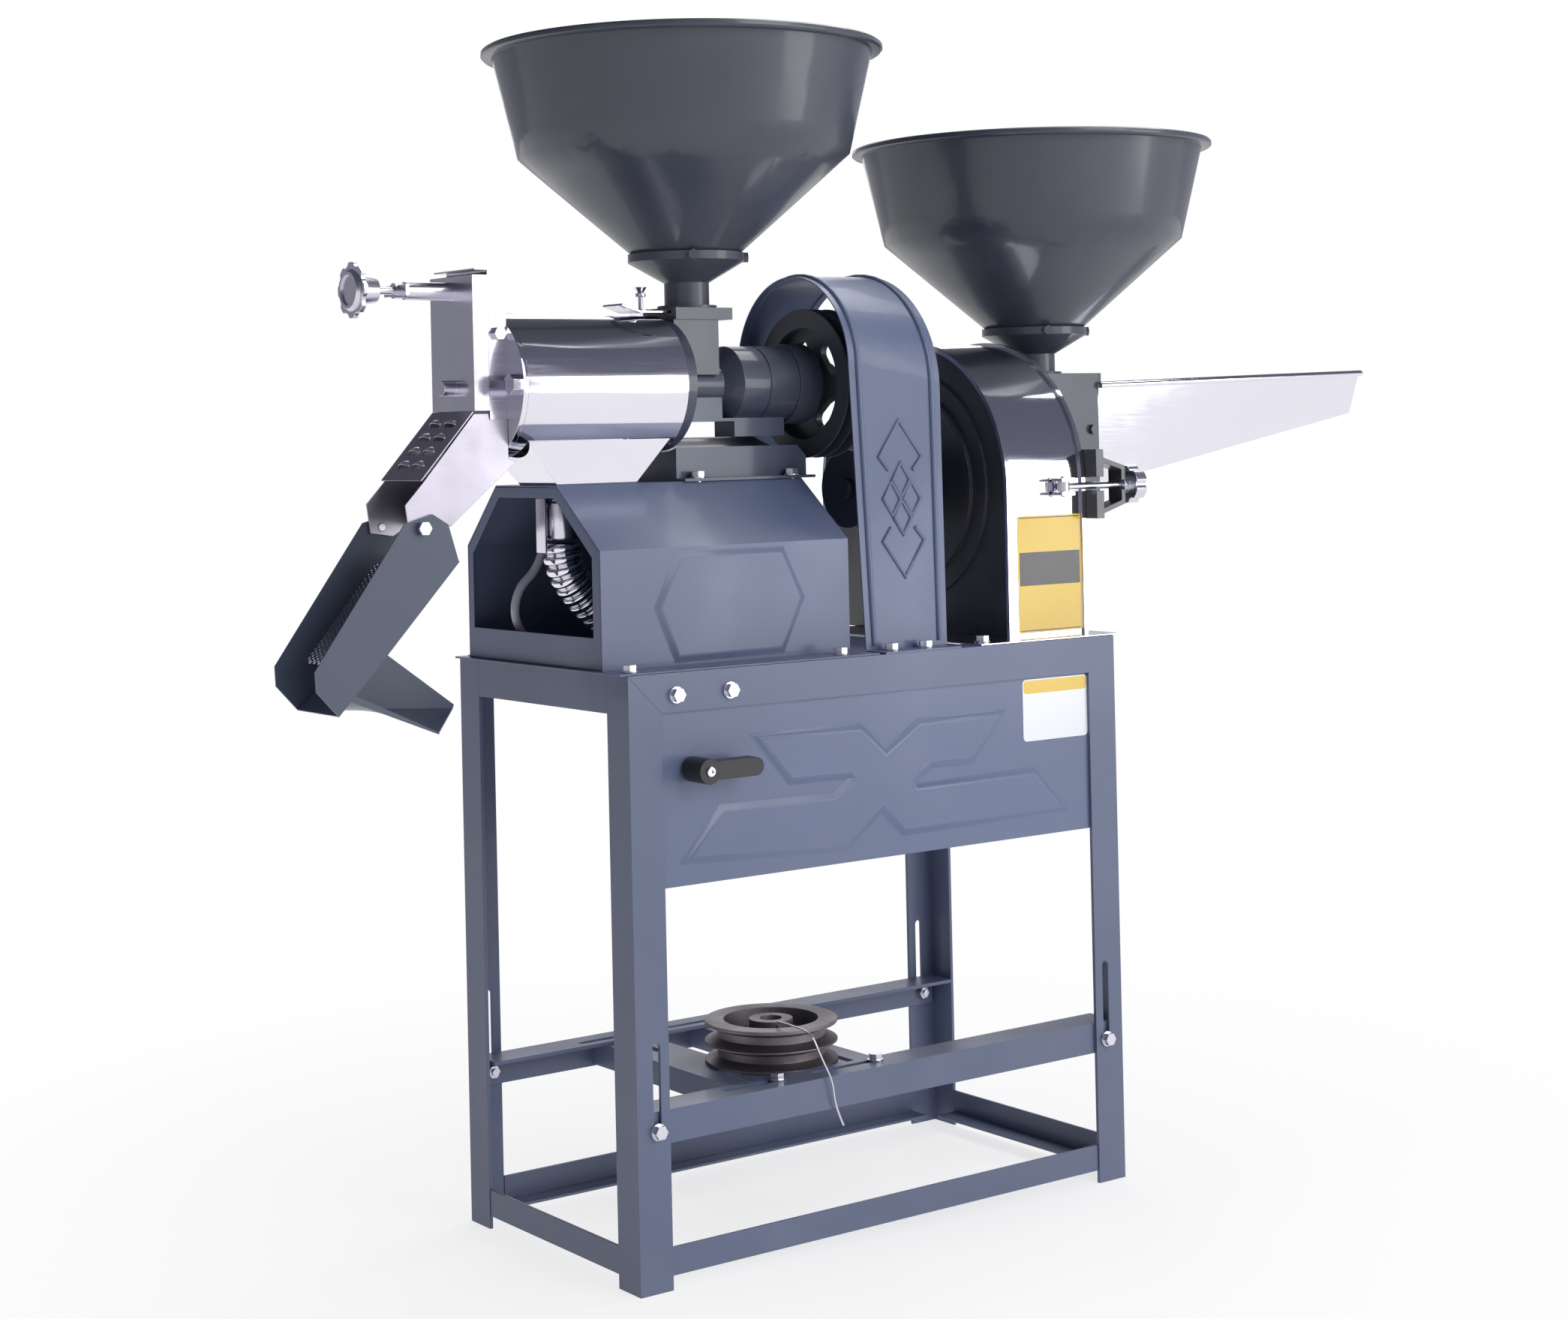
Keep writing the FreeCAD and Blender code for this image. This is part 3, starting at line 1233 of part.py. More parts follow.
left_plate = crusher_plate(S.crusher_left + 0.5, 6, 165.3, 12.56)
spot = Vector(0, value(S.crusher_across), value(S.crusher_height))
for radius, x0, x1 in ((135, 217.5, 221), (112.5, 213, 218), (46, 196, 214), (34, 166, 197)):
    left_plate = left_plate.fuse(Part.makeCylinder(radius, x1 - x0, spot + Vector(x0, 0, 0),
                                                   X_AXIS))
left_plate = left_plate.cut(Part.makeCylinder(104, 3, spot + Vector(212, 0, 0), X_AXIS).cut(
    Part.makeCylinder(60, 3, spot + Vector(212, 0, 0), X_AXIS)))
left_plate = left_plate.cut(Part.makeCylinder(12.56, 100, spot + Vector(150, 0, 0), X_AXIS))
keep(plain_feature("crusher_left_plate", left_plate))
right_plate = crusher_plate(S.crusher_right - 6, 6, 165.8, 124)
foot = Part.makeBox(210, 330, 2, Vector(136, -165, 620))
foot = foot.cut(Part.makeBox(80, 360, 6, Vector(228, -110, 618)).common(Part.makeBox(
    80, 310, 6, Vector(228, -110, 618))))
for bolt_x, bolt_y in TABLE_BOLTS:
    foot = foot.cut(Part.makeCylinder(4.5, 6, Vector(bolt_x, bolt_y, 618)))
keep(plain_feature("crusher_base", foot))
ring_x = [value(S.crusher_left) + 8, value(S.crusher_right) - 7]
keep(place(spin("ring_sieve", [(ring_x[0], S.ring_sieve_radius), (ring_x[0],
                S.ring_sieve_radius + 2), (ring_x[1], S.ring_sieve_radius + 2), (ring_x[1],
                S.ring_sieve_radius)]), 0.0, S.crusher_across, S.crusher_height))
shaft = place(spin("crusher_shaft", [(114, 0), (114, 12.5), (300, 12.5), (300, 0)]), 0.0,
              S.crusher_across, S.crusher_height)


def make_rotor():
    """Toothed disc that throws the grain against the ring sieve."""
    disc = new_body("rotor_disc")
    face = circle(new_sketch(disc, "YZ", 262.0), 0.0, 0.0, S.rotor_radius)
    circle(face, 0.0, 0.0, S.shaft_radius)
    pad(disc, face, 10)
    tooth = new_sketch(disc, "YZ", 272.0)
    outline(tooth, box_points(78, -9, 94, 9))
    feature = pad(disc, tooth, 22)
    polar(disc, feature, tooth, 6)
    return place(disc, 0.0, S.crusher_across, S.crusher_height)


keep(fuse("crusher_rotor", [shaft, make_rotor()]))
crusher_pulley = new_body("crusher_pulley")
pulley_left, pulley_right = S.crusher_pulley_left, S.crusher_pulley_left + 40
rim = S.crusher_pulley_radius
spin_more(crusher_pulley, [
    (pulley_left, rim), (pulley_left + 4, rim), (pulley_left + 8, rim - 12),
    (pulley_left + 13, rim - 12), (pulley_left + 17, rim), (pulley_left + 23, rim),
    (pulley_left + 27, rim - 12), (pulley_left + 32, rim - 12), (pulley_left + 36, rim),
    (pulley_right, rim), (pulley_right, S.shaft_radius), (pulley_left, S.shaft_radius)])
keep(place(crusher_pulley, 0.0, S.crusher_across, S.crusher_height))


def make_door():
    """Round door with an ear for the clamp and the feed opening."""
    door = new_body("door_disc")
    face = circle(new_sketch(door, "YZ", S.door_left), 0.0, 0.0, S.door_radius)
    outline(face, box_points(-40, 15, 40, 95))
    pad(door, face, 12)
    ear = new_sketch(door, "YZ", S.door_left)
    outline(ear, [(-189, -40), (-130, -40), (-130, 40), (-189, 40), (-189, 8), (-168, 8),
                  (-168, -8), (-189, -8)])
    pad(door, ear, 12)
    return place(door, 0.0, S.crusher_across, S.crusher_height)


door = make_door()
across = SIZES["crusher_across"]
half = SIZES["block_half"]
feed = Part.makeBox(122, 2 * half, 145, Vector(352, across - half, 780))
feed = feed.cut(Part.makeBox(200, 2 * half - 4, 141, Vector(354, across - half + 2, 782)))
feed = feed.cut(Part.makeBox(10, 80, 80, Vector(348, across - 40, 808)))
feed = feed.cut(Part.makeCylinder(22.8, 20, Vector(421, across, 915)))
lip = Part.makeBox(7, 2 * half - 1, 13, Vector(473, across - half + 0.5, 912))
corners = [Vector(463 + 6.5 * math.cos(math.radians(60 * i)), across - half - 5,
                  856 + 6.5 * math.sin(math.radians(60 * i))) for i in range(7)]
screw = Part.Face(Part.makePolygon(corners)).extrude(Vector(0, 5.5, 0))
keep(plain_feature("feed_block", feed.fuse([lip, screw])))


def tray_section(x, high, low, half_top, half_low, wall):
    corners = [(-half_top, high), (-half_low, low), (half_low, low), (half_top, high),
               (half_top - wall, high), (half_low - wall, low + wall),
               (-half_low + wall, low + wall), (-half_top + wall, high)]
    points = [Vector(x, across + y, z) for y, z in corners]
    return Part.makePolygon(points + points[:1])


tray_end = value(S.tray_right) - 4
tray = Part.makeLoft([tray_section(474.2, 910, 786, 57, 41, 1.5),
                      tray_section(tray_end, 922, 870, 75, 57, 1.5)], True, True)
end_corners = [Vector(tray_end, across + y, z) for y, z in
               ((-75, 922), (-57, 870), (57, 870), (75, 922), (-75, 922))]
tray_pieces = [Part.Face(Part.makePolygon(end_corners)).extrude(Vector(-1.5, 0, 0))]
wire_line = [(474.2, -59, 910), (tray_end, -77, 922), (tray_end, 77, 922), (474.2, 59, 910)]
wire_spots = [Vector(x, across + y, z) for x, y, z in wire_line]
for here, following in zip(wire_spots, wire_spots[1:]):
    run = following - here
    tray_pieces.append(Part.makeCylinder(4, run.Length, here, run))
    tray_pieces.append(Part.makeSphere(4, following))
keep(plain_feature("feed_tray", tray.fuse(tray_pieces[:-1])))
keep(make_collar("hopper_collar_right", S.right_hopper_along, S.crusher_across, 925.0,
                 S.right_tube_height))
keep(make_hopper("hopper_right", S.right_hopper_along, S.crusher_across,
                 925 + S.right_tube_height + S.collar_height))

# clamp of the crusher door
cy, cz, px = (SIZES[name] for name in ("clamp_across", "clamp_height", "clamp_pivot_along"))
lugs = [Part.makeBox(20, 17.5, 4, Vector(px - 10, cy - 9, z)) for z in (cz - 10, cz + 6)]
pin = Part.makeCylinder(3, 24, Vector(px, cy, cz - 12))
keep(plain_feature("crusher_wrap", make_crusher_wrap().fuse([right_plate, pin] + lugs)))
fork = Part.makeBox(6, 22, 44, Vector(380, cy - 11, cz - 22))
fork = fork.cut(Part.makeBox(10, 18, 11, Vector(378, cy - 12, cz - 5.5)))
arms = []
for sign in (-1, 1):
    side = [(350, 27), (350, 33), (386, 22), (386, 16)]
    wire = Part.makePolygon([Vector(x, cy - 11, cz + sign * z) for x, z in side + side[:1]])
    arms.append(Part.Face(wire).extrude(Vector(0, 22, 0)))
keep(fuse("crusher_door", [door, plain_feature("clamp_fork", fork.fuse(arms))]))
bolt = Part.makeCylinder(7, 11.6, Vector(px, cy, cz - 5.8)).fuse(
    Part.makeCylinder(4, 110, Vector(px, cy, cz), X_AXIS))
bolt = bolt.cut(Part.makeCylinder(3.06, 30, Vector(px, cy, cz - 15)))
keep(plain_feature("swing_bolt", bolt))
knob_left = SIZES["clamp_knob_left"]
knob = Part.makeCylinder(22, 16, Vector(knob_left + 8, cy, cz), X_AXIS)
for number in range(6):
    turn = math.radians(60 * number)
    knob = knob.cut(Part.makeCylinder(6, 40, Vector(knob_left, cy + 25 * math.cos(turn),
                                                    cz + 25 * math.sin(turn)), X_AXIS))
knob = knob.fuse(Part.makeCylinder(10, 9, Vector(knob_left, cy, cz), X_AXIS))
knob = knob.cut(Part.makeCylinder(4.06, 80, Vector(px + 50, cy, cz), X_AXIS))
keep(plain_feature("clamp_knob", knob))

# ---------------------------------------------------------------------------------------
# Check and write
# ---------------------------------------------------------------------------------------
doc.recompute()
failed = [obj.Label for obj in doc.Objects
          if "Invalid" in obj.State or "Error" in obj.State]
for subpart in parts:
    if subpart.Shape.isNull() or not subpart.Shape.isValid():
        failed.append(subpart.Label)
if failed:
    raise RuntimeError("not sound: " + ", ".join(failed))
os.makedirs("parts", exist_ok=True)
for subpart in parts:
    subpart.Shape.exportStep(f"parts/{subpart.Label}.step")
box = Part.makeCompound([subpart.Shape for subpart in parts]).BoundBox
print(len(parts), "sub-parts; box", [round(v, 1) for v in
      (box.XMin, box.XMax, box.YMin, box.YMax, box.ZMin, box.ZMax)])
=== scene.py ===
# %% [markdown]
# # A small rice huller and crusher on an angle-iron stand
# The solid parts come from the CAD model, which is loaded as a fixed frame. This notebook
# gives each part its finish, builds the pieces that need softer or finer shapes than the
# plain solids have, and sets up the floor, the light and the camera.

# %% Load the CAD frame
import math

import bmesh
import bpy
from mathutils import Matrix, Vector


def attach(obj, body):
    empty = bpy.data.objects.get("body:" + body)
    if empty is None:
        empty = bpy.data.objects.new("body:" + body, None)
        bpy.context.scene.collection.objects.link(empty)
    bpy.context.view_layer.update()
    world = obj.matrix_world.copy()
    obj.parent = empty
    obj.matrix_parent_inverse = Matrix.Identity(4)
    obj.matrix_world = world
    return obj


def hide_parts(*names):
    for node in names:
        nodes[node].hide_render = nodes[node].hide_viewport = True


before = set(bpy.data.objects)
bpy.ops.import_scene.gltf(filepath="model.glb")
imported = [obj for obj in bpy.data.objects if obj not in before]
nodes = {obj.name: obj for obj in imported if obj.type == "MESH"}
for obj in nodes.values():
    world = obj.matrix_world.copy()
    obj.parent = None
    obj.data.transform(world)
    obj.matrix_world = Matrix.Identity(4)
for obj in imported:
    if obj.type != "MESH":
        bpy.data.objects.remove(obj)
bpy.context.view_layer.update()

# %% [markdown]
# The CAD model measures from the middle of the stand and then shifts everything so that the
# origin lies under the middle of the whole object. The same shift turns the maker's
# millimetres into the metres that this scene uses.

# %% Place in metres from the stand's own millimetres
SHIFT_ALONG, SHIFT_ACROSS = 157.5, 25.0


def at(x, y, z):
    """A point given in millimetres from the stand's middle, as a point of the scene."""
    return Vector((x - SHIFT_ALONG, y - SHIFT_ACROSS, z)) / 1000


# %% [markdown]
# ## Shared surface effects
# Sprayed enamel is never quite flat: it dries with a faint orange-peel texture, and dust
# settles on it in soft clouds. One node group makes both from the object's own coordinates,
# so every painted material can use it with its own strengths.

# %% Node-group helpers
def start_group(name, inputs, outputs):
    """A new shader node group with float or colour sockets and its two end nodes."""
    group = bpy.data.node_groups.new(name, "ShaderNodeTree")
    for label, kind, default in inputs:
        made = group.interface.new_socket(label, in_out="INPUT", socket_type=kind)
        made.default_value = default
    for label, kind in outputs:
        group.interface.new_socket(label, in_out="OUTPUT", socket_type=kind)
    return group, group.nodes.new("NodeGroupInput"), group.nodes.new("NodeGroupOutput")


def add_noise(group, scale, detail=3.0, stretch=None):
    """Noise on object coordinates; stretch squeezes the pattern along the axes."""
    coords = group.nodes.new("ShaderNodeTexCoord")
    noise = group.nodes.new("ShaderNodeTexNoise")
    noise.inputs["Detail"].default_value = detail
    source = coords.outputs["Object"]
    if stretch:
        mapping = group.nodes.new("ShaderNodeMapping")
        mapping.inputs["Scale"].default_value = stretch
        group.links.new(source, mapping.inputs["Vector"])
        source = mapping.outputs["Vector"]
    group.links.new(source, noise.inputs["Vector"])
    if isinstance(scale, (int, float)):
        noise.inputs["Scale"].default_value = scale
    else:
        group.links.new(scale, noise.inputs["Scale"])
    return noise.outputs["Fac"]


def remap(group, source, low, high, to_low, to_high):
    """Stretch a value's range, with low and high being numbers or sockets."""
    node = group.nodes.new("ShaderNodeMapRange")
    group.links.new(source, node.inputs["Value"])
    spots = (("From Min", low), ("From Max", high), ("To Min", to_low), ("To Max", to_high))
    for label, size in spots:
        if isinstance(size, (int, float)):
            node.inputs[label].default_value = size
        else:
            group.links.new(size, node.inputs[label])
    return node.outputs["Result"]


def blend_colours(group, amount, first, second):
    """Mix two colours, each a tuple or a socket, by the amount."""
    mix = group.nodes.new("ShaderNodeMix")
    mix.data_type = "RGBA"
    group.links.new(amount, mix.inputs["Factor"])
    for socket, colour in ((mix.inputs["A"], first), (mix.inputs["B"], second)):
        if isinstance(colour, tuple):
            socket.default_value = colour
        else:
            group.links.new(colour, socket)
    return mix.outputs["Result"]


# %% The enamel group
DUST_TONE, SHADE_TONE = (0.42, 0.42, 0.42, 1), (0.03, 0.035, 0.045, 1)
DUSTY_ROUGHNESS, SHADE_STRENGTH, PEEL_HEIGHT = 0.62, 0.16, 0.0004
enamel, enter, leave = start_group(
    "sprayed_enamel",
    [("Colour", "NodeSocketColor", (0.1, 0.1, 0.1, 1)), ("Dust", "NodeSocketFloat", 0.1),
     ("Gloss", "NodeSocketFloat", 0.35), ("Peel Scale", "NodeSocketFloat", 420.0),
     ("Peel", "NodeSocketFloat", 0.12)],
    [("Colour", "NodeSocketColor"), ("Roughness", "NodeSocketFloat"),
     ("Normal", "NodeSocketVector")])
clouds = add_noise(enamel, 6.5, 5.0)
cloud_mask = remap(enamel, clouds, 0.45, 0.8, 0.0, enter.outputs["Dust"])
dusted = blend_colours(enamel, cloud_mask, enter.outputs["Colour"], DUST_TONE)
shade = add_noise(enamel, 2.2, 2.0)
shade_mask = remap(enamel, shade, 0.3, 0.7, 0.0, SHADE_STRENGTH)
toned = blend_colours(enamel, shade_mask, dusted, SHADE_TONE)
enamel.links.new(toned, leave.inputs["Colour"])
rough = remap(enamel, clouds, 0.3, 0.75, enter.outputs["Gloss"], DUSTY_ROUGHNESS)
enamel.links.new(rough, leave.inputs["Roughness"])
peel = add_noise(enamel, enter.outputs["Peel Scale"], 1.5)
peel_bump = enamel.nodes.new("ShaderNodeBump")
peel_bump.inputs["Distance"].default_value = PEEL_HEIGHT
enamel.links.new(enter.outputs["Peel"], peel_bump.inputs["Strength"])
enamel.links.new(peel, peel_bump.inputs["Height"])
enamel.links.new(peel_bump.outputs["Normal"], leave.inputs["Normal"])

# %% [markdown]
# Bare metal shows the direction it was worked in. Polished stainless keeps very fine lines
# and a few soft smears; a casting is pitted all over. Both come from one group whose lines
# can be stretched along any axis.

# %% The worked-metal group
GRIME_TONE, LINE_STRETCH = (0.3, 0.29, 0.28, 1), (0.3, 9.0, 9.0)
LINE_ROUGHNESS, PIT_DEPTH = 0.05, 0.0006
worked, enter, leave = start_group(
    "worked_metal",
    [("Colour", "NodeSocketColor", (0.7, 0.7, 0.7, 1)), ("Gloss", "NodeSocketFloat", 0.1),
     ("Smear", "NodeSocketFloat", 0.1), ("Pits", "NodeSocketFloat", 0.1),
     ("Pit Scale", "NodeSocketFloat", 300.0)],
    [("Colour", "NodeSocketColor"), ("Roughness", "NodeSocketFloat"),
     ("Normal", "NodeSocketVector")])
smears = add_noise(worked, 9.0, 4.0)
lines = add_noise(worked, 60.0, 2.0, stretch=LINE_STRETCH)
smear_mask = remap(worked, smears, 0.42, 0.75, 0.0, enter.outputs["Smear"])
grimy = blend_colours(worked, smear_mask, enter.outputs["Colour"], GRIME_TONE)
worked.links.new(grimy, leave.inputs["Colour"])
lined = remap(worked, lines, 0.3, 0.7, 0.0, LINE_ROUGHNESS)
add_up = worked.nodes.new("ShaderNodeMath")
worked.links.new(lined, add_up.inputs[0])
worked.links.new(enter.outputs["Gloss"], add_up.inputs[1])
add_smear = worked.nodes.new("ShaderNodeMath")
worked.links.new(add_up.outputs[0], add_smear.inputs[0])
worked.links.new(smear_mask, add_smear.inputs[1])
worked.links.new(add_smear.outputs[0], leave.inputs["Roughness"])
pits = add_noise(worked, enter.outputs["Pit Scale"], 4.0)
pit_bump = worked.nodes.new("ShaderNodeBump")
pit_bump.inputs["Distance"].default_value = PIT_DEPTH
worked.links.new(enter.outputs["Pits"], pit_bump.inputs["Strength"])
worked.links.new(pits, pit_bump.inputs["Height"])
worked.links.new(pit_bump.outputs["Normal"], leave.inputs["Normal"])


# %% Material makers
COAT_ROUGHNESS = 0.12


def colour(red, green, blue):
    """A colour as a designer writes it, 0 to 255, in the linear values that shaders use."""
    def linear(part):
        part = part / 255
        return part / 12.92 if part <= 0.04045 else ((part + 0.055) / 1.055) ** 2.4
    return (linear(red), linear(green), linear(blue), 1.0)


def surface(name, group, values, metallic=0.0, coat=0.0):
    """A material whose shader takes colour, roughness and normal from a shared group."""
    material = bpy.data.materials.new(name)
    material.use_nodes = True
    tree = material.node_tree
    shader = tree.nodes["Principled BSDF"]
    effect = tree.nodes.new("ShaderNodeGroup")
    effect.node_tree = group
    for label, size in values.items():
        effect.inputs[label].default_value = size
    tree.links.new(effect.outputs["Colour"], shader.inputs["Base Color"])
    tree.links.new(effect.outputs["Roughness"], shader.inputs["Roughness"])
    tree.links.new(effect.outputs["Normal"], shader.inputs["Normal"])
    shader.inputs["Metallic"].default_value = metallic
    shader.inputs["Coat Weight"].default_value = coat
    shader.inputs["Coat Roughness"].default_value = COAT_ROUGHNESS
    material.diffuse_color = values["Colour"]
    return material


def enamelled(name, paint, dust, gloss, peel, coat=0.15):
    """Sprayed paint, with more peel on castings and more coat on glossy parts."""
    return surface(name, enamel, {"Colour": paint, "Dust": dust, "Gloss": gloss, "Peel": peel},
                   coat=coat)


def metal(name, tone, gloss, smear, pits=0.0, pit_scale=300.0):
    """Bare or plated metal, from a mirror polish to a pitted casting."""
    return surface(name, worked, {"Colour": tone, "Gloss": gloss, "Smear": smear, "Pits": pits,
                                  "Pit Scale": pit_scale}, metallic=1.0)


finishes = {
    "frame_enamel": enamelled("frame_enamel", colour(86, 96, 124), 0.1, 0.36, 0.2),
    "panel_enamel": enamelled("panel_enamel", colour(90, 101, 132), 0.08, 0.32, 0.22),
    "hopper_enamel": enamelled("hopper_enamel", colour(52, 57, 72), 0.06, 0.26, 0.06, 0.35),
    "chute_enamel": enamelled("chute_enamel", colour(66, 75, 96), 0.05, 0.3, 0.12, 0.3),
    "housing_enamel": enamelled("housing_enamel", colour(48, 55, 76), 0.06, 0.28, 0.4, 0.4),
    "black_enamel": enamelled("black_enamel", colour(36, 38, 48), 0.05, 0.18, 0.05, 0.6),
    "cast_enamel": enamelled("cast_enamel", colour(44, 49, 62), 0.1, 0.36, 0.5, 0.15),
    "polished_steel": metal("polished_steel", colour(232, 230, 240), 0.04, 0.05),
    "dull_steel": metal("dull_steel", colour(176, 172, 184), 0.3, 0.25, 0.1),
    "brushed_steel": metal("brushed_steel", colour(214, 212, 224), 0.16, 0.12, 0.05),
    "zinc_plate": metal("zinc_plate", colour(214, 215, 224), 0.22, 0.08, 0.05),
    "grey_iron": metal("grey_iron", colour(86, 84, 86), 0.42, 0.3, 0.5, 220.0),
    "dark_iron": metal("dark_iron", colour(126, 120, 124), 0.46, 0.3, 0.7, 220.0),
    "black_plastic": enamelled("black_plastic", colour(27, 26, 31), 0.02, 0.3, 0.3, 0.0),
    "hose_plastic": enamelled("hose_plastic", colour(178, 178, 196), 0.02, 0.28, 0.05, 0.3),
    "yellow_card": enamelled("yellow_card", colour(214, 178, 52), 0.02, 0.3, 0.02, 0.4),
    "white_card": enamelled("white_card", colour(222, 224, 230), 0.02, 0.3, 0.02, 0.4),
    "dark_print": enamelled("dark_print", colour(42, 40, 44), 0.02, 0.3, 0.02, 0.4),
}

# %% [markdown]
# ## Finishing the CAD parts
# A CAD mesh is exact but has knife-sharp edges, which real steel never has. Welding its
# loose triangles, rounding the edges a little and smoothing the shading makes light catch
# on each edge. The shape itself is never moved.

# %% Dress each CAD node
FINISH_OF = {
    "frame_enamel": ["leg_front_left", "leg_front_right", "leg_back_left", "leg_back_right",
                     "top_front_rail", "top_back_rail", "top_side_rails", "bottom_rails",
                     "motor_rail_front", "motor_rail_back", "seat_bar_left",
                     "seat_bar_right"],
    "panel_enamel": ["front_panel", "cabinet_base", "cabinet_cover", "cabinet_left_frame",
                     "cabinet_right_wall", "belt_guard"],
    "hopper_enamel": ["hopper_left", "hopper_right", "hopper_collar_left",
                      "hopper_collar_right", "feed_block", "feed_throat"],
    "chute_enamel": ["lower_chute", "mill_base"],
    "housing_enamel": ["bearing_housing"],
    "black_enamel": ["crusher_left_plate", "crusher_pulley", "crusher_door"],
    "cast_enamel": ["mill_pulley", "crusher_rotor"],
    "polished_steel": ["drum_cover", "drum_end_plate", "crusher_wrap", "feed_tray",
                       "bran_hopper", "crusher_base"],
    "dull_steel": ["upper_chute"],
    "brushed_steel": ["outlet_casing", "outlet_door", "feed_gate", "bran_screen",
                      "ring_sieve", "pressure_gate", "wing_nut", "pressure_screw"],
    "zinc_plate": ["machine_bolts", "rail_bolts", "swing_bolt", "clamp_knob"],
    "grey_iron": ["mill_shaft", "screw_roller"],
    "dark_iron": ["spare_pulley"],
    "black_plastic": ["lever_handle"],
}
EDGE_ROUND, EDGE_ANGLE, FLAT_ANGLE = 0.0005, math.radians(38), math.radians(0.4)
WELD_GAP, FACE_WEIGHT = 0.00002, 60

# Large turned and rolled surfaces keep their fine facets, because merging them would show.
ROUND_NODES = {"hopper_left", "hopper_right", "hopper_collar_left", "hopper_collar_right",
               "drum_cover", "bearing_housing", "crusher_left_plate", "crusher_wrap"}


def dress(piece, finish):
    """Give a piece its finish, soft edges and smooth shading."""
    piece.data.materials.clear()
    piece.data.materials.append(finishes[finish])
    piece.data.polygons.foreach_set("use_smooth", [True] * len(piece.data.polygons))
    weld = piece.modifiers.new("weld", "WELD")
    weld.merge_threshold = WELD_GAP
    if piece.name not in ROUND_NODES:
        flats = piece.modifiers.new("flats", "DECIMATE")
        flats.decimate_type, flats.angle_limit = "DISSOLVE", FLAT_ANGLE
    bevel = piece.modifiers.new("edges", "BEVEL")
    bevel.width, bevel.segments = EDGE_ROUND, 2
    bevel.limit_method, bevel.angle_limit = "ANGLE", EDGE_ANGLE
    bevel.use_clamp_overlap = True
    bevel.harden_normals = False
    normals = piece.modifiers.new("normals", "WEIGHTED_NORMAL")
    normals.keep_sharp = False
    normals.weight = FACE_WEIGHT


for finish, names in FINISH_OF.items():
    for name in names:
        dress(nodes[name], finish)
print("finished", sum(len(names) for names in FINISH_OF.values()), "CAD nodes")

# %% [markdown]
# ## Pieces with finer shapes than the plain solids
# The bran pipe is a stainless bellows, the hose and the tie wire hang on smooth lines, and
# the sieve is a sheet with staggered holes. Each takes the place of its plain solid.


# %% Helpers for new pieces
LINE_STEPS, TUBE_SIDES = 14, 36


def add_piece(name, mesh_or_curve, finish, body):
    """Link a new piece, give it its finish and let it ride on its body."""
    piece = bpy.data.objects.new(name, mesh_or_curve)
    bpy.context.scene.collection.objects.link(piece)
    mesh_or_curve.materials.append(finishes[finish])
    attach(piece, body)
    return piece


def mesh_from(name, build, smooth=True):
    """A mesh filled by a function that works on an empty bmesh."""
    sheet = bmesh.new()
    build(sheet)
    bmesh.ops.recalc_face_normals(sheet, faces=sheet.faces)
    mesh = bpy.data.meshes.new(name)
    sheet.to_mesh(mesh)
    sheet.free()
    mesh.polygons.foreach_set("use_smooth", [smooth] * len(mesh.polygons))
    return mesh


def join_loops(sheet, loops, capped=True):
    """Skin a run of closed loops with quads, and close both ends if asked."""
    for low, high in zip(loops, loops[1:]):
        for k in range(len(low)):
            following = (k + 1) % len(low)
            sheet.faces.new((low[k], low[following], high[following], high[k]))
    if capped:
        sheet.faces.new(loops[0])
        sheet.faces.new(loops[-1])


def smooth_line(name, points, radius=0.0):
    """A curve of one smooth spline steered by the points, as thick as the radius says."""
    curve = bpy.data.curves.new(name, "CURVE")
    curve.dimensions = "3D"
    spline = curve.splines.new("NURBS")
    spline.points.add(len(points) - 1)
    for spot, point in zip(spline.points, points):
        spot.co = (*point, 1.0)
    spline.order_u = 3
    spline.use_endpoint_u = True
    curve.resolution_u = LINE_STEPS
    curve.bevel_depth, curve.bevel_resolution = radius, 5
    curve.use_fill_caps = radius > 0
    return curve


def line_points(points):
    """Closely spaced points along the smooth line that the given points steer."""
    curve = smooth_line("guide", points)
    holder = bpy.data.objects.new("guide", curve)
    mesh = bpy.data.meshes.new_from_object(holder)
    found = [vertex.co.copy() for vertex in mesh.vertices]
    bpy.data.objects.remove(holder)
    bpy.data.curves.remove(curve)
    bpy.data.meshes.remove(mesh)
    return found


def even_steps(points, step):
    """Points at equal steps along a line, with the distance run at each."""
    found, run, want = [(points[0], 0.0)], 0.0, step
    for here, following in zip(points, points[1:]):
        length = (following - here).length
        while length > 0 and run + length >= want:
            found.append((here.lerp(following, (want - run) / length), want))
            want += step
        run += length
    return found


def ringed_tube(sheet, centres, radius_at):
    """A closed tube round a line, with its own radius at every distance along it."""
    across = Vector((0, 1, 0))
    loops = []
    for index, (centre, run) in enumerate(centres):
        before = centres[max(index - 1, 0)][0]
        after = centres[min(index + 1, len(centres) - 1)][0]
        ahead = (after - before).normalized()
        across = (across - ahead * across.dot(ahead)).normalized()
        other = ahead.cross(across)
        radius = radius_at(run)
        loops.append([sheet.verts.new(centre + radius * (
            across * math.cos(math.tau * side / TUBE_SIDES)
            + other * math.sin(math.tau * side / TUBE_SIDES))) for side in range(TUBE_SIDES)])
    join_loops(sheet, loops)


# %% Bellows pipe
PIPE_ROUTE = [at(-303, 0, 748.8), at(-303, 0, 728), at(-286, 0, 700), at(-262, 0, 676),
              at(-236, 0, 656), at(-224, 0, 640), at(-224, 0, 622.2)]
RIB_PITCH, RIB_TOP, RIB_DEPTH, RIB_STEPS = 0.0105, 0.0218, 0.0052, 12


def bellows_radius(run):
    """Round ribs with narrow valleys between them."""
    wave = abs(math.sin(math.pi * run / RIB_PITCH))
    return RIB_TOP - RIB_DEPTH * (1 - wave) ** 1.6


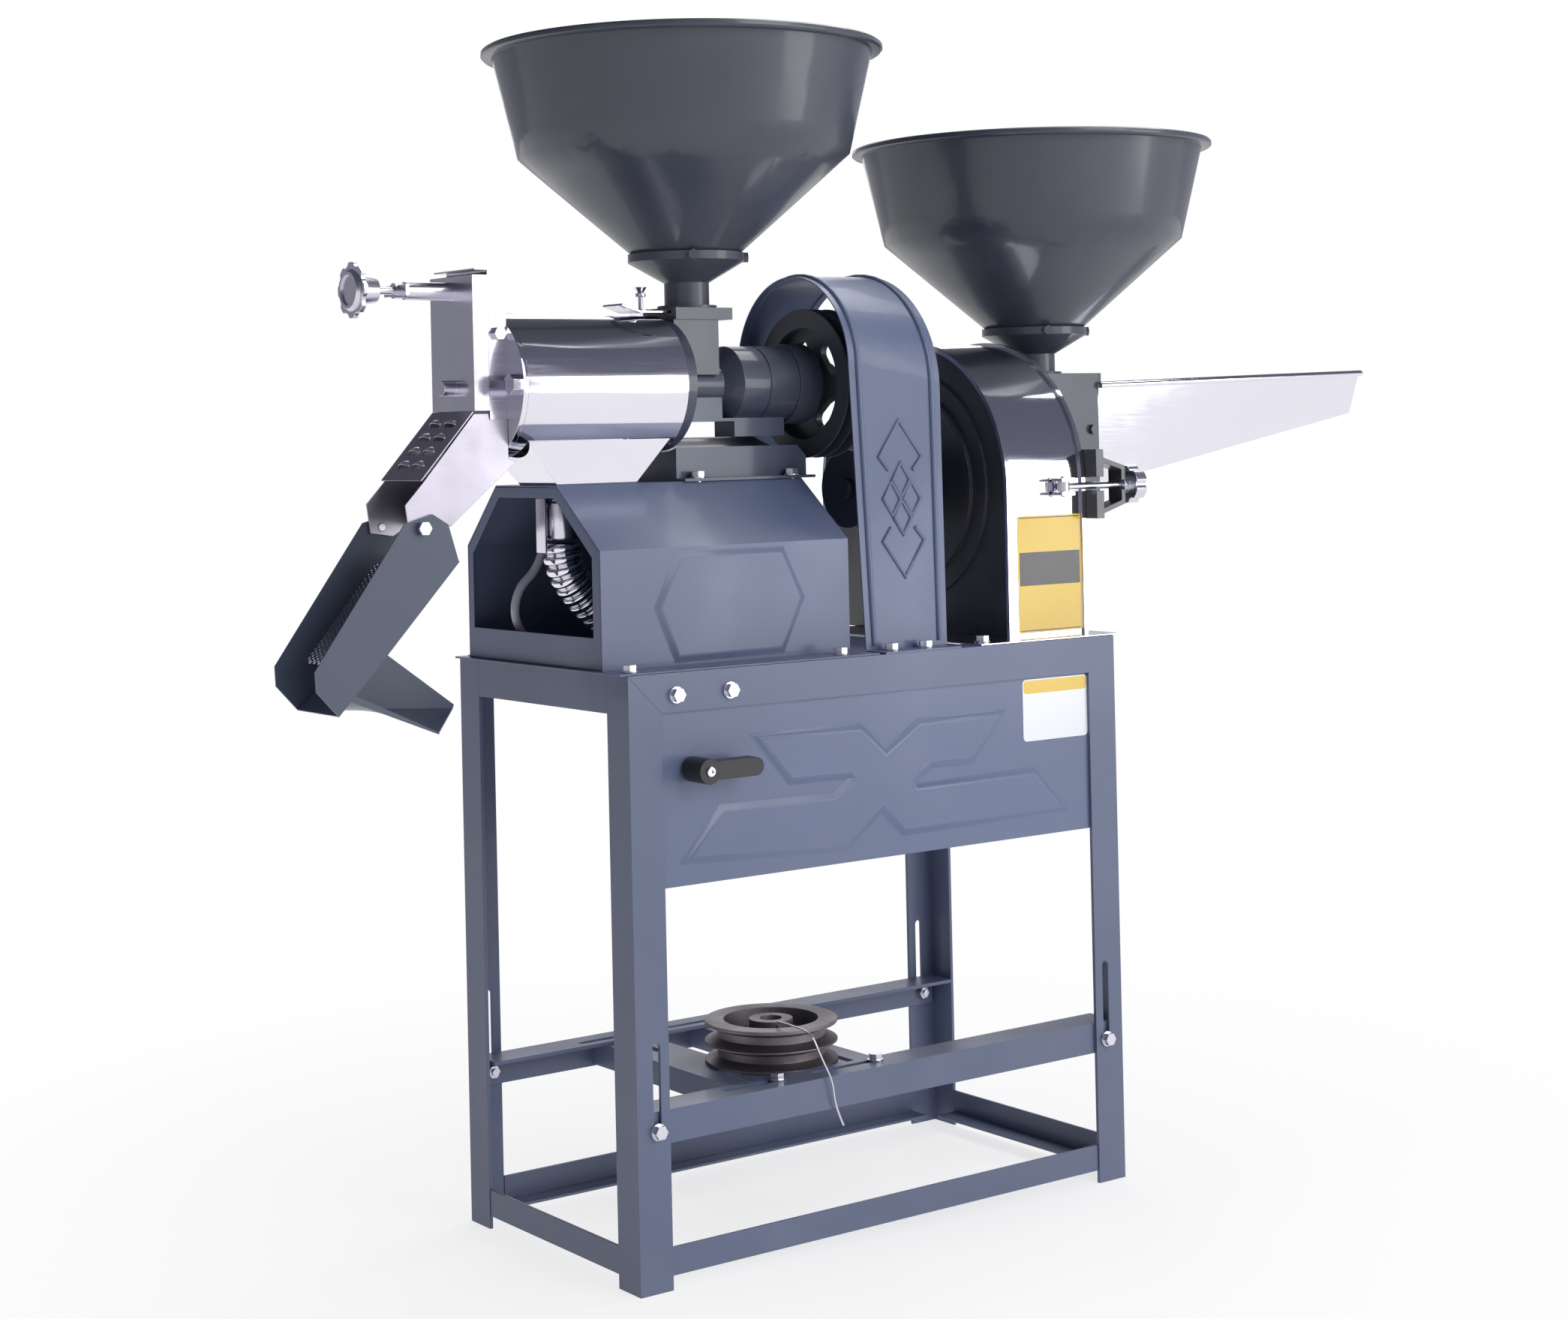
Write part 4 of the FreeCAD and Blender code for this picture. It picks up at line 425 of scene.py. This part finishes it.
def build_bellows(sheet):
    centres = even_steps(line_points(PIPE_ROUTE), RIB_PITCH / RIB_STEPS)
    ringed_tube(sheet, centres, bellows_radius)


bellows = add_piece("bran_bellows", mesh_from("bran_bellows", build_bellows),
                    "polished_steel", "machine")
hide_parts("bran_pipe")

# %% Cup over the bellows
CUP_PROFILE = [(17.0, 752.0), (20.0, 754.0), (20.0, 791.0), (18.6, 793.0), (18.6, 806.5)]
CUP_MIDDLE, CUP_SIDES = -303, 40
CUP_STRAP = [(-329, -326.5, -9, 9, 739, 797), (-326.5, -322.5, -3, 3, 788, 796)]


def build_cup(sheet):
    """A turned cup, with the strap that ties it to the cabinet's end."""
    join_loops(sheet, [[sheet.verts.new(at(
        CUP_MIDDLE + radius * math.cos(math.tau * k / CUP_SIDES),
        radius * math.sin(math.tau * k / CUP_SIDES), z)) for k in range(CUP_SIDES)]
        for radius, z in CUP_PROFILE])
    for x0, x1, y0, y1, z0, z1 in CUP_STRAP:
        block = bmesh.ops.create_cube(sheet, size=1.0)["verts"]
        for corner in block:
            corner.co = at(x1 if corner.co.x > 0 else x0, y1 if corner.co.y > 0 else y0,
                           z1 if corner.co.z > 0 else z0)


cup = add_piece("pipe_cup", mesh_from("pipe_cup", build_cup), "brushed_steel", "machine")
cup_edges = cup.modifiers.new("edges", "BEVEL")
cup_edges.width, cup_edges.segments, cup_edges.limit_method = 0.0006, 2, "ANGLE"
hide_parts("pipe_union")

# %% Hose and tie wire
HOSE_ROUTE = [at(-268, 70, 806), at(-281, 70, 742), at(-294, 70, 716), at(-312, 70, 702),
              at(-320, 70, 684), at(-320, 70, 666), at(-312, 70, 650), at(-302, 70, 638),
              at(-302, 70, 622.2)]
HOSE_RADIUS = 0.0048
hose = add_piece("drain_hose", smooth_line("drain_hose", HOSE_ROUTE, HOSE_RADIUS),
                 "hose_plastic", "machine")
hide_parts("hose")
WIRE_ROUTE = [at(-98, -83, 186), at(-98, -84, 227), at(-105, -104, 231),
              at(-110, -160, 231), at(-111, -169.5, 224), at(-100, -169.5, 200),
              at(-88, -169.5, 178), at(-84, -168, 150), at(-72, -166, 128)]
WIRE_RADIUS = 0.001
tie = add_piece("pulley_tie", smooth_line("pulley_tie", WIRE_ROUTE, WIRE_RADIUS),
                "zinc_plate", "motor_rails")
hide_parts("tie_wire")

# %% [markdown]
# The sieve in the lower chute is a sheet with six-sided holes in staggered rows. Every cell
# is a ring of six quads round its hole, and neighbours share their outer corners.

# %% Sieve
SIEVE_FOOT, SIEVE_HEAD, SIEVE_HALF = at(-589.4, 0, 639.5), at(-504.2, 0, 739.1), 0.0425
CELL, HOLE_SHARE, SIEVE_INSET, SIEVE_GAUGE = 0.0031, 0.62, 0.0006, 0.0008
up_sieve = (SIEVE_HEAD - SIEVE_FOOT).normalized()
sieve_out = up_sieve.cross(Vector((0, 1, 0)))


def build_sieve(sheet):
    length = (SIEVE_HEAD - SIEVE_FOOT).length
    wide, tall = CELL * math.sqrt(3), CELL * 1.5
    rows = int((2 * SIEVE_HALF - 2 * CELL) / tall)
    columns = int((length - wide) / wide)
    for row in range(rows):
        for column in range(columns):
            along = CELL + wide * (column + 0.5 * (row % 2))
            y = -SIEVE_HALF + CELL + tall * row
            rims = []
            for reach in (CELL, CELL * HOLE_SHARE):
                rims.append([sheet.verts.new(
                    SIEVE_FOOT + up_sieve * (along + reach * math.sin(math.tau * k / 6))
                    + Vector((0, y + reach * math.cos(math.tau * k / 6), 0))
                    - sieve_out * SIEVE_INSET) for k in range(6)])
            join_loops(sheet, rims, capped=False)
    bmesh.ops.remove_doubles(sheet, verts=sheet.verts, dist=CELL * 0.05)


sieve = add_piece("chute_screen", mesh_from("chute_screen", build_sieve, smooth=False),
                  "brushed_steel", "tilting_chute")
thick = sieve.modifiers.new("thickness", "SOLIDIFY")
thick.thickness, thick.offset = SIEVE_GAUGE, 0.0
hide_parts("chute_sieve")

# %% [markdown]
# The upper chute's slope has eight pressed louvres, each a small hood over its opening.

# %% Louvre hoods
SLOPE_FOOT, SLOPE_HEAD = at(-493, 0, 819), at(-431, 0, 888)
slope_up = (SLOPE_HEAD - SLOPE_FOOT).normalized()
slope_out = slope_up.cross(Vector((0, 1, 0)))
HOOD_HALF, HOOD_RISE, HOOD_RUN, HOOD_GAUGE = 0.0115, 0.0036, 0.0075, 0.0008
HOOD_ROWS, HOOD_SIDE, HOOD_LIFT, HOOD_BANDS, HOOD_SEGMENTS = 4, 0.015, 0.0014, 8, 16


def build_hoods(sheet):
    """Each hood is a quarter of a flattened ball, open at its lower side."""
    sweeps = [math.pi * k / HOOD_SEGMENTS for k in range(HOOD_SEGMENTS + 1)]
    for row in range(HOOD_ROWS):
        centre = SLOPE_FOOT.lerp(SLOPE_HEAD, (row + 1) / (HOOD_ROWS + 1))
        centre = centre + slope_out * HOOD_LIFT
        for side in (-HOOD_SIDE, HOOD_SIDE):
            grid = []
            for band in range(HOOD_BANDS + 1):
                rise = math.pi / 2 * band / HOOD_BANDS
                grid.append([sheet.verts.new(
                    centre + Vector((0, side + HOOD_HALF * math.cos(sweep), 0))
                    + (slope_up * HOOD_RUN * math.cos(rise)
                       + slope_out * HOOD_RISE * math.sin(rise)) * math.sin(sweep))
                    for sweep in sweeps])
            for low, high in zip(grid, grid[1:]):
                for k in range(HOOD_SEGMENTS):
                    sheet.faces.new((low[k], low[k + 1], high[k + 1], high[k]))
    bmesh.ops.remove_doubles(sheet, verts=sheet.verts, dist=0.00001)


hoods = add_piece("louvre_hoods", mesh_from("louvre_hoods", build_hoods), "brushed_steel",
                  "machine")
hood_wall = hoods.modifiers.new("thickness", "SOLIDIFY")
hood_wall.thickness = HOOD_GAUGE

# %% [markdown]
# The belt guard is pressed with a bead along each edge and a lattice of diamonds on its
# front. Its face leans back and widens from its left edge to its right one.

# %% Belt guard pressings
GUARD_WIDTH, GUARD_LOW = 112.0, 622.0
SMALL_ARCH = {"foot": 132.0, "centre": (-9.0, 932.0), "radius": 103.0}
LARGE_ARCH = {"foot": 135.0, "centre": (0.0, 905.0), "radius": 132.0}
BEAD_RADIUS, RIDGE_RADIUS = 0.0032, 0.0026


def arch_spot(arch, part):
    """A point of an arch's outer line as (y, z); part runs from 0 to 3, foot to foot."""
    cy, cz = arch["centre"]
    if part <= 1:
        front = (cy - arch["radius"], cz)
        return (-arch["foot"] + (front[0] + arch["foot"]) * part,
                GUARD_LOW + (cz - GUARD_LOW) * part)
    if part <= 2:
        turn = math.pi * (2 - part)
        return (cy + arch["radius"] * math.cos(turn), cz + arch["radius"] * math.sin(turn))
    back = (cy + arch["radius"], cz)
    return (back[0] + (arch["foot"] - back[0]) * (part - 2),
            cz + (GUARD_LOW - cz) * (part - 2))


def guard_spot(x, part):
    """A point of the guard's skin at x millimetres from its left edge."""
    share = x / GUARD_WIDTH
    small, large = arch_spot(SMALL_ARCH, part), arch_spot(LARGE_ARCH, part)
    return at(x, small[0] + (large[0] - small[0]) * share,
              small[1] + (large[1] - small[1]) * share)


def ridge(name, lines, radius):
    """Half-sunk round ridges along runs of points."""
    curve = bpy.data.curves.new(name, "CURVE")
    curve.dimensions = "3D"
    for points, closed in lines:
        spline = curve.splines.new("POLY")
        spline.points.add(len(points) - 1)
        for spot, point in zip(spline.points, points):
            spot.co = (*point, 1.0)
        spline.use_cyclic_u = closed
    curve.bevel_depth, curve.bevel_resolution = radius, 3
    curve.use_fill_caps = True
    return add_piece(name, curve, "panel_enamel", "machine")


ARCH_STEPS, BEAD_PLACES = 24, (11.0, 101.0)
bead_parts = ([0.02, 0.5] + [1 + step / ARCH_STEPS for step in range(ARCH_STEPS + 1)]
              + [2.5, 2.98])
ridge("guard_beads", [([guard_spot(x, part) for part in bead_parts], False)
                      for x in BEAD_PLACES], BEAD_RADIUS)

# %% Lattice of diamonds on the guard
DIAMOND_CENTRE, DIAMOND_HALF, DIAMOND_TALL = (58.0, 785.0), 13.0, 21.0
WHOLE_DIAMONDS = ((0, 1), (-1, 0), (1, 0), (0, -1))
DIAMOND = ((0, 0.88), (0.86, 0), (0, -0.88), (-0.86, 0))
OPEN_DIAMOND = ((-1.2, 1.5), (-2.1, 2.2), (0, 4.1), (2.1, 2.2), (1.2, 1.5))


def on_front(across, high):
    """A place on the guard's front, from the middle of the lattice."""
    x, z = DIAMOND_CENTRE[0] + across, DIAMOND_CENTRE[1] + high
    share = x / GUARD_WIDTH
    low_top, high_top = SMALL_ARCH["centre"][1], LARGE_ARCH["centre"][1]
    top = low_top + (high_top - low_top) * share
    return guard_spot(x, (z - GUARD_LOW) / (top - GUARD_LOW))


lattice = [([on_front((a + da) * DIAMOND_HALF, (b + db) * DIAMOND_TALL)
             for da, db in DIAMOND], True) for a, b in WHOLE_DIAMONDS]
lattice += [([on_front(da * DIAMOND_HALF, sign * db * DIAMOND_TALL)
              for da, db in OPEN_DIAMOND], False) for sign in (-1, 1)]
ridge("guard_diamonds", lattice, RIDGE_RADIUS)

# %% [markdown]
# A press leaves soft shoulders round a raised field. The plain solids have upright walls
# there, so a smooth skirt runs round each field from the sheet up onto the raised face.

# %% Pressed shoulders
PANEL_FRONT, PANEL_RISE = -163.7, 3.0
CABINET_FRONT, CABINET_RISE = -119.0, 2.5
CROSS = [(-168, 543), (-37, 542), (-3, 511), (44, 541), (159, 542), (117, 498), (60, 499),
         (31, 480), (38, 471), (209, 473), (248, 432), (21, 430), (-9, 459), (-61, 421),
         (-259, 431), (-219, 474), (-73, 472), (-44, 491), (-50, 498), (-130, 499)]
HEXAGON = [(-234, 733), (-104, 732.5), (-80, 684), (-106, 632.5), (-238, 631.5),
           (-260, 682.5)]
CORNER_ANGLE = math.radians(40)
# Each pair is the distance out from the raised edge and the share of the rise there.
SHOULDER = [(7.0, 0.03), (5.4, 0.2), (3.4, 0.55), (1.0, 0.96), (-1.4, 1.04), (-2.6, 1.01)]


def moved_out(points, distance):
    """A clockwise outline with every side moved outward by a distance."""
    result = []
    for i, point in enumerate(points):
        here, before = Vector(point), Vector(points[i - 1])
        following = Vector(points[(i + 1) % len(points)])
        first, second = (here - before).normalized(), (following - here).normalized()
        left = Vector((-first.y, first.x)) + Vector((-second.y, second.x))
        result.append(here + left * (distance / (1 + first.dot(second))))
    return result


def pressed_edge(name, points, front, rise):
    """A smooth skirt round a raised field whose sheet lies at front."""
    def build(sheet):
        join_loops(sheet, [[sheet.verts.new(at(x, front - rise * share, z))
                            for x, z in moved_out(points, reach)]
                           for reach, share in SHOULDER], capped=False)
    edge = add_piece(name, mesh_from(name, build), "panel_enamel", "machine")
    soft = edge.modifiers.new("corners", "EDGE_SPLIT")
    soft.split_angle = CORNER_ANGLE


pressed_edge("panel_shoulder", CROSS, PANEL_FRONT, PANEL_RISE)
pressed_edge("cabinet_shoulder", HEXAGON, CABINET_FRONT, CABINET_RISE)

# %% [markdown]
# Plain cards stand where the machine carries its printed ones. They have no lettering.

# %% Cards
CORNER_STEPS, CARD_GAUGE, PRINT_GAUGE = 4, 0.0004, 0.0006


def card(name, x0, x1, z0, z1, y, finish, gauge=CARD_GAUGE, corner=0.003):
    """A thin card with round corners on a face that looks to the front."""
    def build(sheet):
        half_x, half_z = (x1 - x0) / 2000, (z1 - z0) / 2000
        middle_spot = at((x0 + x1) / 2, y, (z0 + z1) / 2)
        rim = []
        for number, (sx, sz) in enumerate(((1, 1), (-1, 1), (-1, -1), (1, -1))):
            for step in range(CORNER_STEPS + 1):
                turn = math.pi / 2 * (number + step / CORNER_STEPS)
                rim.append(sheet.verts.new(middle_spot + Vector((
                    sx * (half_x - corner) + corner * math.cos(turn), 0,
                    sz * (half_z - corner) + corner * math.sin(turn)))))
        face = sheet.faces.new(rim)
        pulled = bmesh.ops.extrude_face_region(sheet, geom=[face])
        bmesh.ops.translate(sheet, vec=(0, -gauge, 0), verts=[
            item for item in pulled["geom"] if isinstance(item, bmesh.types.BMVert)])
    return add_piece(name, mesh_from(name, build, smooth=False), finish, "machine")


WRAP_FRONT = -117.5
card("wrap_card", 235, 333, 625, 759, WRAP_FRONT, "yellow_card")
card("wrap_card_band", 237.5, 330.5, 679, 717, WRAP_FRONT, "dark_print",
     PRINT_GAUGE, 0.0006)
for number, (z0, z1) in enumerate(((756, 757), (627, 628))):
    card(f"wrap_card_rule_{number}", 238, 330, z0, z1, WRAP_FRONT, "dark_print",
         PRINT_GAUGE, 0.0003)
card("panel_card", 196, 293.5, 509, 578, PANEL_FRONT, "white_card",
     CARD_GAUGE, 0.005)
card("panel_card_head", 197.5, 292, 562, 576.5, PANEL_FRONT, "yellow_card",
     PRINT_GAUGE, 0.004)


# %% Screw in the lever's hub
SCREW_PLACE, SCREW_SIDES = at(-257, -199.3, 521), 24
SCREW_PROFILE = [(0.0052, 0.0), (0.0052, 0.0016), (0.0044, 0.0024), (0.0024, 0.0024),
                 (0.0024, 0.0006)]


def build_screw(sheet):
    """A round head with a round socket, facing the front."""
    join_loops(sheet, [[sheet.verts.new(SCREW_PLACE + Vector((
        radius * math.cos(math.tau * k / SCREW_SIDES), -depth,
        radius * math.sin(math.tau * k / SCREW_SIDES)))) for k in range(SCREW_SIDES)]
        for radius, depth in SCREW_PROFILE])


add_piece("lever_screw", mesh_from("lever_screw", build_screw, smooth=False), "zinc_plate",
          "lever")

# %% [markdown]
# ## Floor, light and camera
# The machine stands on a pale floor in a bright studio. A large soft key lights the front,
# a bright card stands to the right for polished steel to mirror, and lamps above and behind
# light the tops and edges. The left side stays in shade, as the world is darker there. The
# world is bright near the horizon only, so that steel shows dark and light bands.

# %% Floor
FLOOR_SIZE, FLOOR_TONE = 12.0, (0.9, 0.9, 0.92, 1)
FADE_FROM, FADE_TO, GLOW_FROM, GLOW_TO = 0.2, 1.3, 0.72, 1.0
WHITE = (1, 1, 1, 1)
floor_sheet = bmesh.new()
bmesh.ops.create_grid(floor_sheet, x_segments=1, y_segments=1, size=FLOOR_SIZE)
floor_mesh = bpy.data.meshes.new("floor")
floor_sheet.to_mesh(floor_mesh)
floor_sheet.free()
floor = bpy.data.objects.new("floor", floor_mesh)
bpy.context.scene.collection.objects.link(floor)
floor_finish = bpy.data.materials.new("floor_finish")
floor_finish.use_nodes = True
floor_tree = floor_finish.node_tree
floor_shader = floor_tree.nodes["Principled BSDF"]
floor_shader.inputs["Base Color"].default_value = FLOOR_TONE
floor_shader.inputs["Roughness"].default_value = 0.7
glow = floor_tree.nodes.new("ShaderNodeEmission")
glow.inputs["Color"].default_value = WHITE
place_on_floor = floor_tree.nodes.new("ShaderNodeTexCoord")
reach = floor_tree.nodes.new("ShaderNodeVectorMath")
reach.operation = "LENGTH"
floor_tree.links.new(place_on_floor.outputs["Object"], reach.inputs[0])
fade = remap(floor_tree, reach.outputs["Value"], FADE_FROM, FADE_TO, GLOW_FROM, GLOW_TO)
floor_mix = floor_tree.nodes.new("ShaderNodeMixShader")
floor_tree.links.new(fade, floor_mix.inputs["Fac"])
floor_tree.links.new(floor_shader.outputs[0], floor_mix.inputs[1])
floor_tree.links.new(glow.outputs[0], floor_mix.inputs[2])
floor_tree.links.new(floor_mix.outputs[0],
                     floor_tree.nodes["Material Output"].inputs["Surface"])
floor_mesh.materials.append(floor_finish)

# %% World
WORLD_STRENGTH, DARK_SIDE = 0.62, (0.1, 0.105, 0.13, 1)
SKY_STOPS = [(0.0, (0.12, 0.12, 0.16, 1)), (0.42, (0.2, 0.21, 0.27, 1)),
             (0.5, (0.8, 0.8, 0.9, 1)), (0.58, (0.95, 0.96, 1.08, 1)),
             (0.64, (0.22, 0.23, 0.3, 1)), (1.0, (0.16, 0.17, 0.22, 1))]
world = bpy.data.worlds.new("studio")
bpy.context.scene.world = world
world.use_nodes = True
world_tree = world.node_tree
background = world_tree.nodes["Background"]
background.inputs["Strength"].default_value = WORLD_STRENGTH
sky_place = world_tree.nodes.new("ShaderNodeTexCoord")
sky_split = world_tree.nodes.new("ShaderNodeSeparateXYZ")
world_tree.links.new(sky_place.outputs["Generated"], sky_split.inputs[0])
sky_ramp = world_tree.nodes.new("ShaderNodeValToRGB")
sky_level = remap(world_tree, sky_split.outputs["Z"], -1.0, 1.0, 0.0, 1.0)
world_tree.links.new(sky_level, sky_ramp.inputs["Fac"])
while len(sky_ramp.color_ramp.elements) < len(SKY_STOPS):
    sky_ramp.color_ramp.elements.new(0.5)
for element, (level, tint) in zip(sky_ramp.color_ramp.elements, SKY_STOPS):
    element.position, element.color = level, tint
sky_side = remap(world_tree, sky_split.outputs["X"], -0.7, 0.3, 0.3, 1.0)
sky_tint = blend_colours(world_tree, sky_side, DARK_SIDE, sky_ramp.outputs["Color"])
world_tree.links.new(sky_tint, background.inputs["Color"])
seen = world_tree.nodes.new("ShaderNodeBackground")
seen.inputs["Color"].default_value = WHITE
seen.inputs["Strength"].default_value = 1.0
switch = world_tree.nodes.new("ShaderNodeMixShader")
rays = world_tree.nodes.new("ShaderNodeLightPath")
world_tree.links.new(rays.outputs["Is Camera Ray"], switch.inputs["Fac"])
world_tree.links.new(background.outputs[0], switch.inputs[1])
world_tree.links.new(seen.outputs[0], switch.inputs[2])
world_tree.links.new(switch.outputs[0], world_tree.nodes["World Output"].inputs["Surface"])


# %% Lamps
MIDDLE = (0.0, 0.0, 0.75)


def lamp(name, place, size, power, aim=MIDDLE):
    """A square soft lamp at a place, turned to what it lights."""
    light = bpy.data.lights.new(name, "AREA")
    light.shape, light.size, light.energy = "SQUARE", size, power
    holder = bpy.data.objects.new(name, light)
    holder.location = place
    holder.rotation_euler = (Vector(aim) - Vector(place)).to_track_quat("-Z", "Y").to_euler()
    bpy.context.scene.collection.objects.link(holder)


lamp("key", (0.5, -3.6, 2.5), 2.2, 84)
lamp("fill", (-3.4, -1.6, 1.4), 2.2, 4)
lamp("top", (1.4, 0.2, 3.5), 1.9, 70)
lamp("card", (2.6, -3.5, 0.95), 1.7, 44, aim=(0.1, -0.15, 0.75))
lamp("back", (1.8, 3.2, 2.4), 2.4, 35)

# %% Camera
CAMERA_PLACE = at(-1770.28, -2346.88, 860.3)
SENSOR_WIDTH, LENS_LENGTH, SHIFT_RIGHT, SHIFT_UP = 36.0, 59.97, 0.0441, -0.1533
VIEW_YAW, VIEW_PITCH, VIEW_ROLL = -0.6183, 0.0057, -0.0217
forward = Vector((-math.sin(VIEW_YAW) * math.cos(VIEW_PITCH),
                  math.cos(VIEW_YAW) * math.cos(VIEW_PITCH), math.sin(VIEW_PITCH)))
right = Vector((math.cos(VIEW_YAW), math.sin(VIEW_YAW), 0))
up = right.cross(forward)
tilted_right = right * math.cos(VIEW_ROLL) + up * math.sin(VIEW_ROLL)
tilted_up = up * math.cos(VIEW_ROLL) - right * math.sin(VIEW_ROLL)
lens = bpy.data.cameras.new("camera")
lens.sensor_width, lens.lens = SENSOR_WIDTH, LENS_LENGTH
lens.shift_x, lens.shift_y = SHIFT_RIGHT, SHIFT_UP
lens.clip_end = 50
camera = bpy.data.objects.new("camera", lens)
turn = Matrix((tilted_right, tilted_up, -forward)).transposed()
camera.matrix_world = Matrix.Translation(CAMERA_PLACE) @ turn.to_4x4()
bpy.context.scene.collection.objects.link(camera)
bpy.context.scene.camera = camera
bpy.context.scene.view_settings.view_transform = "Standard"
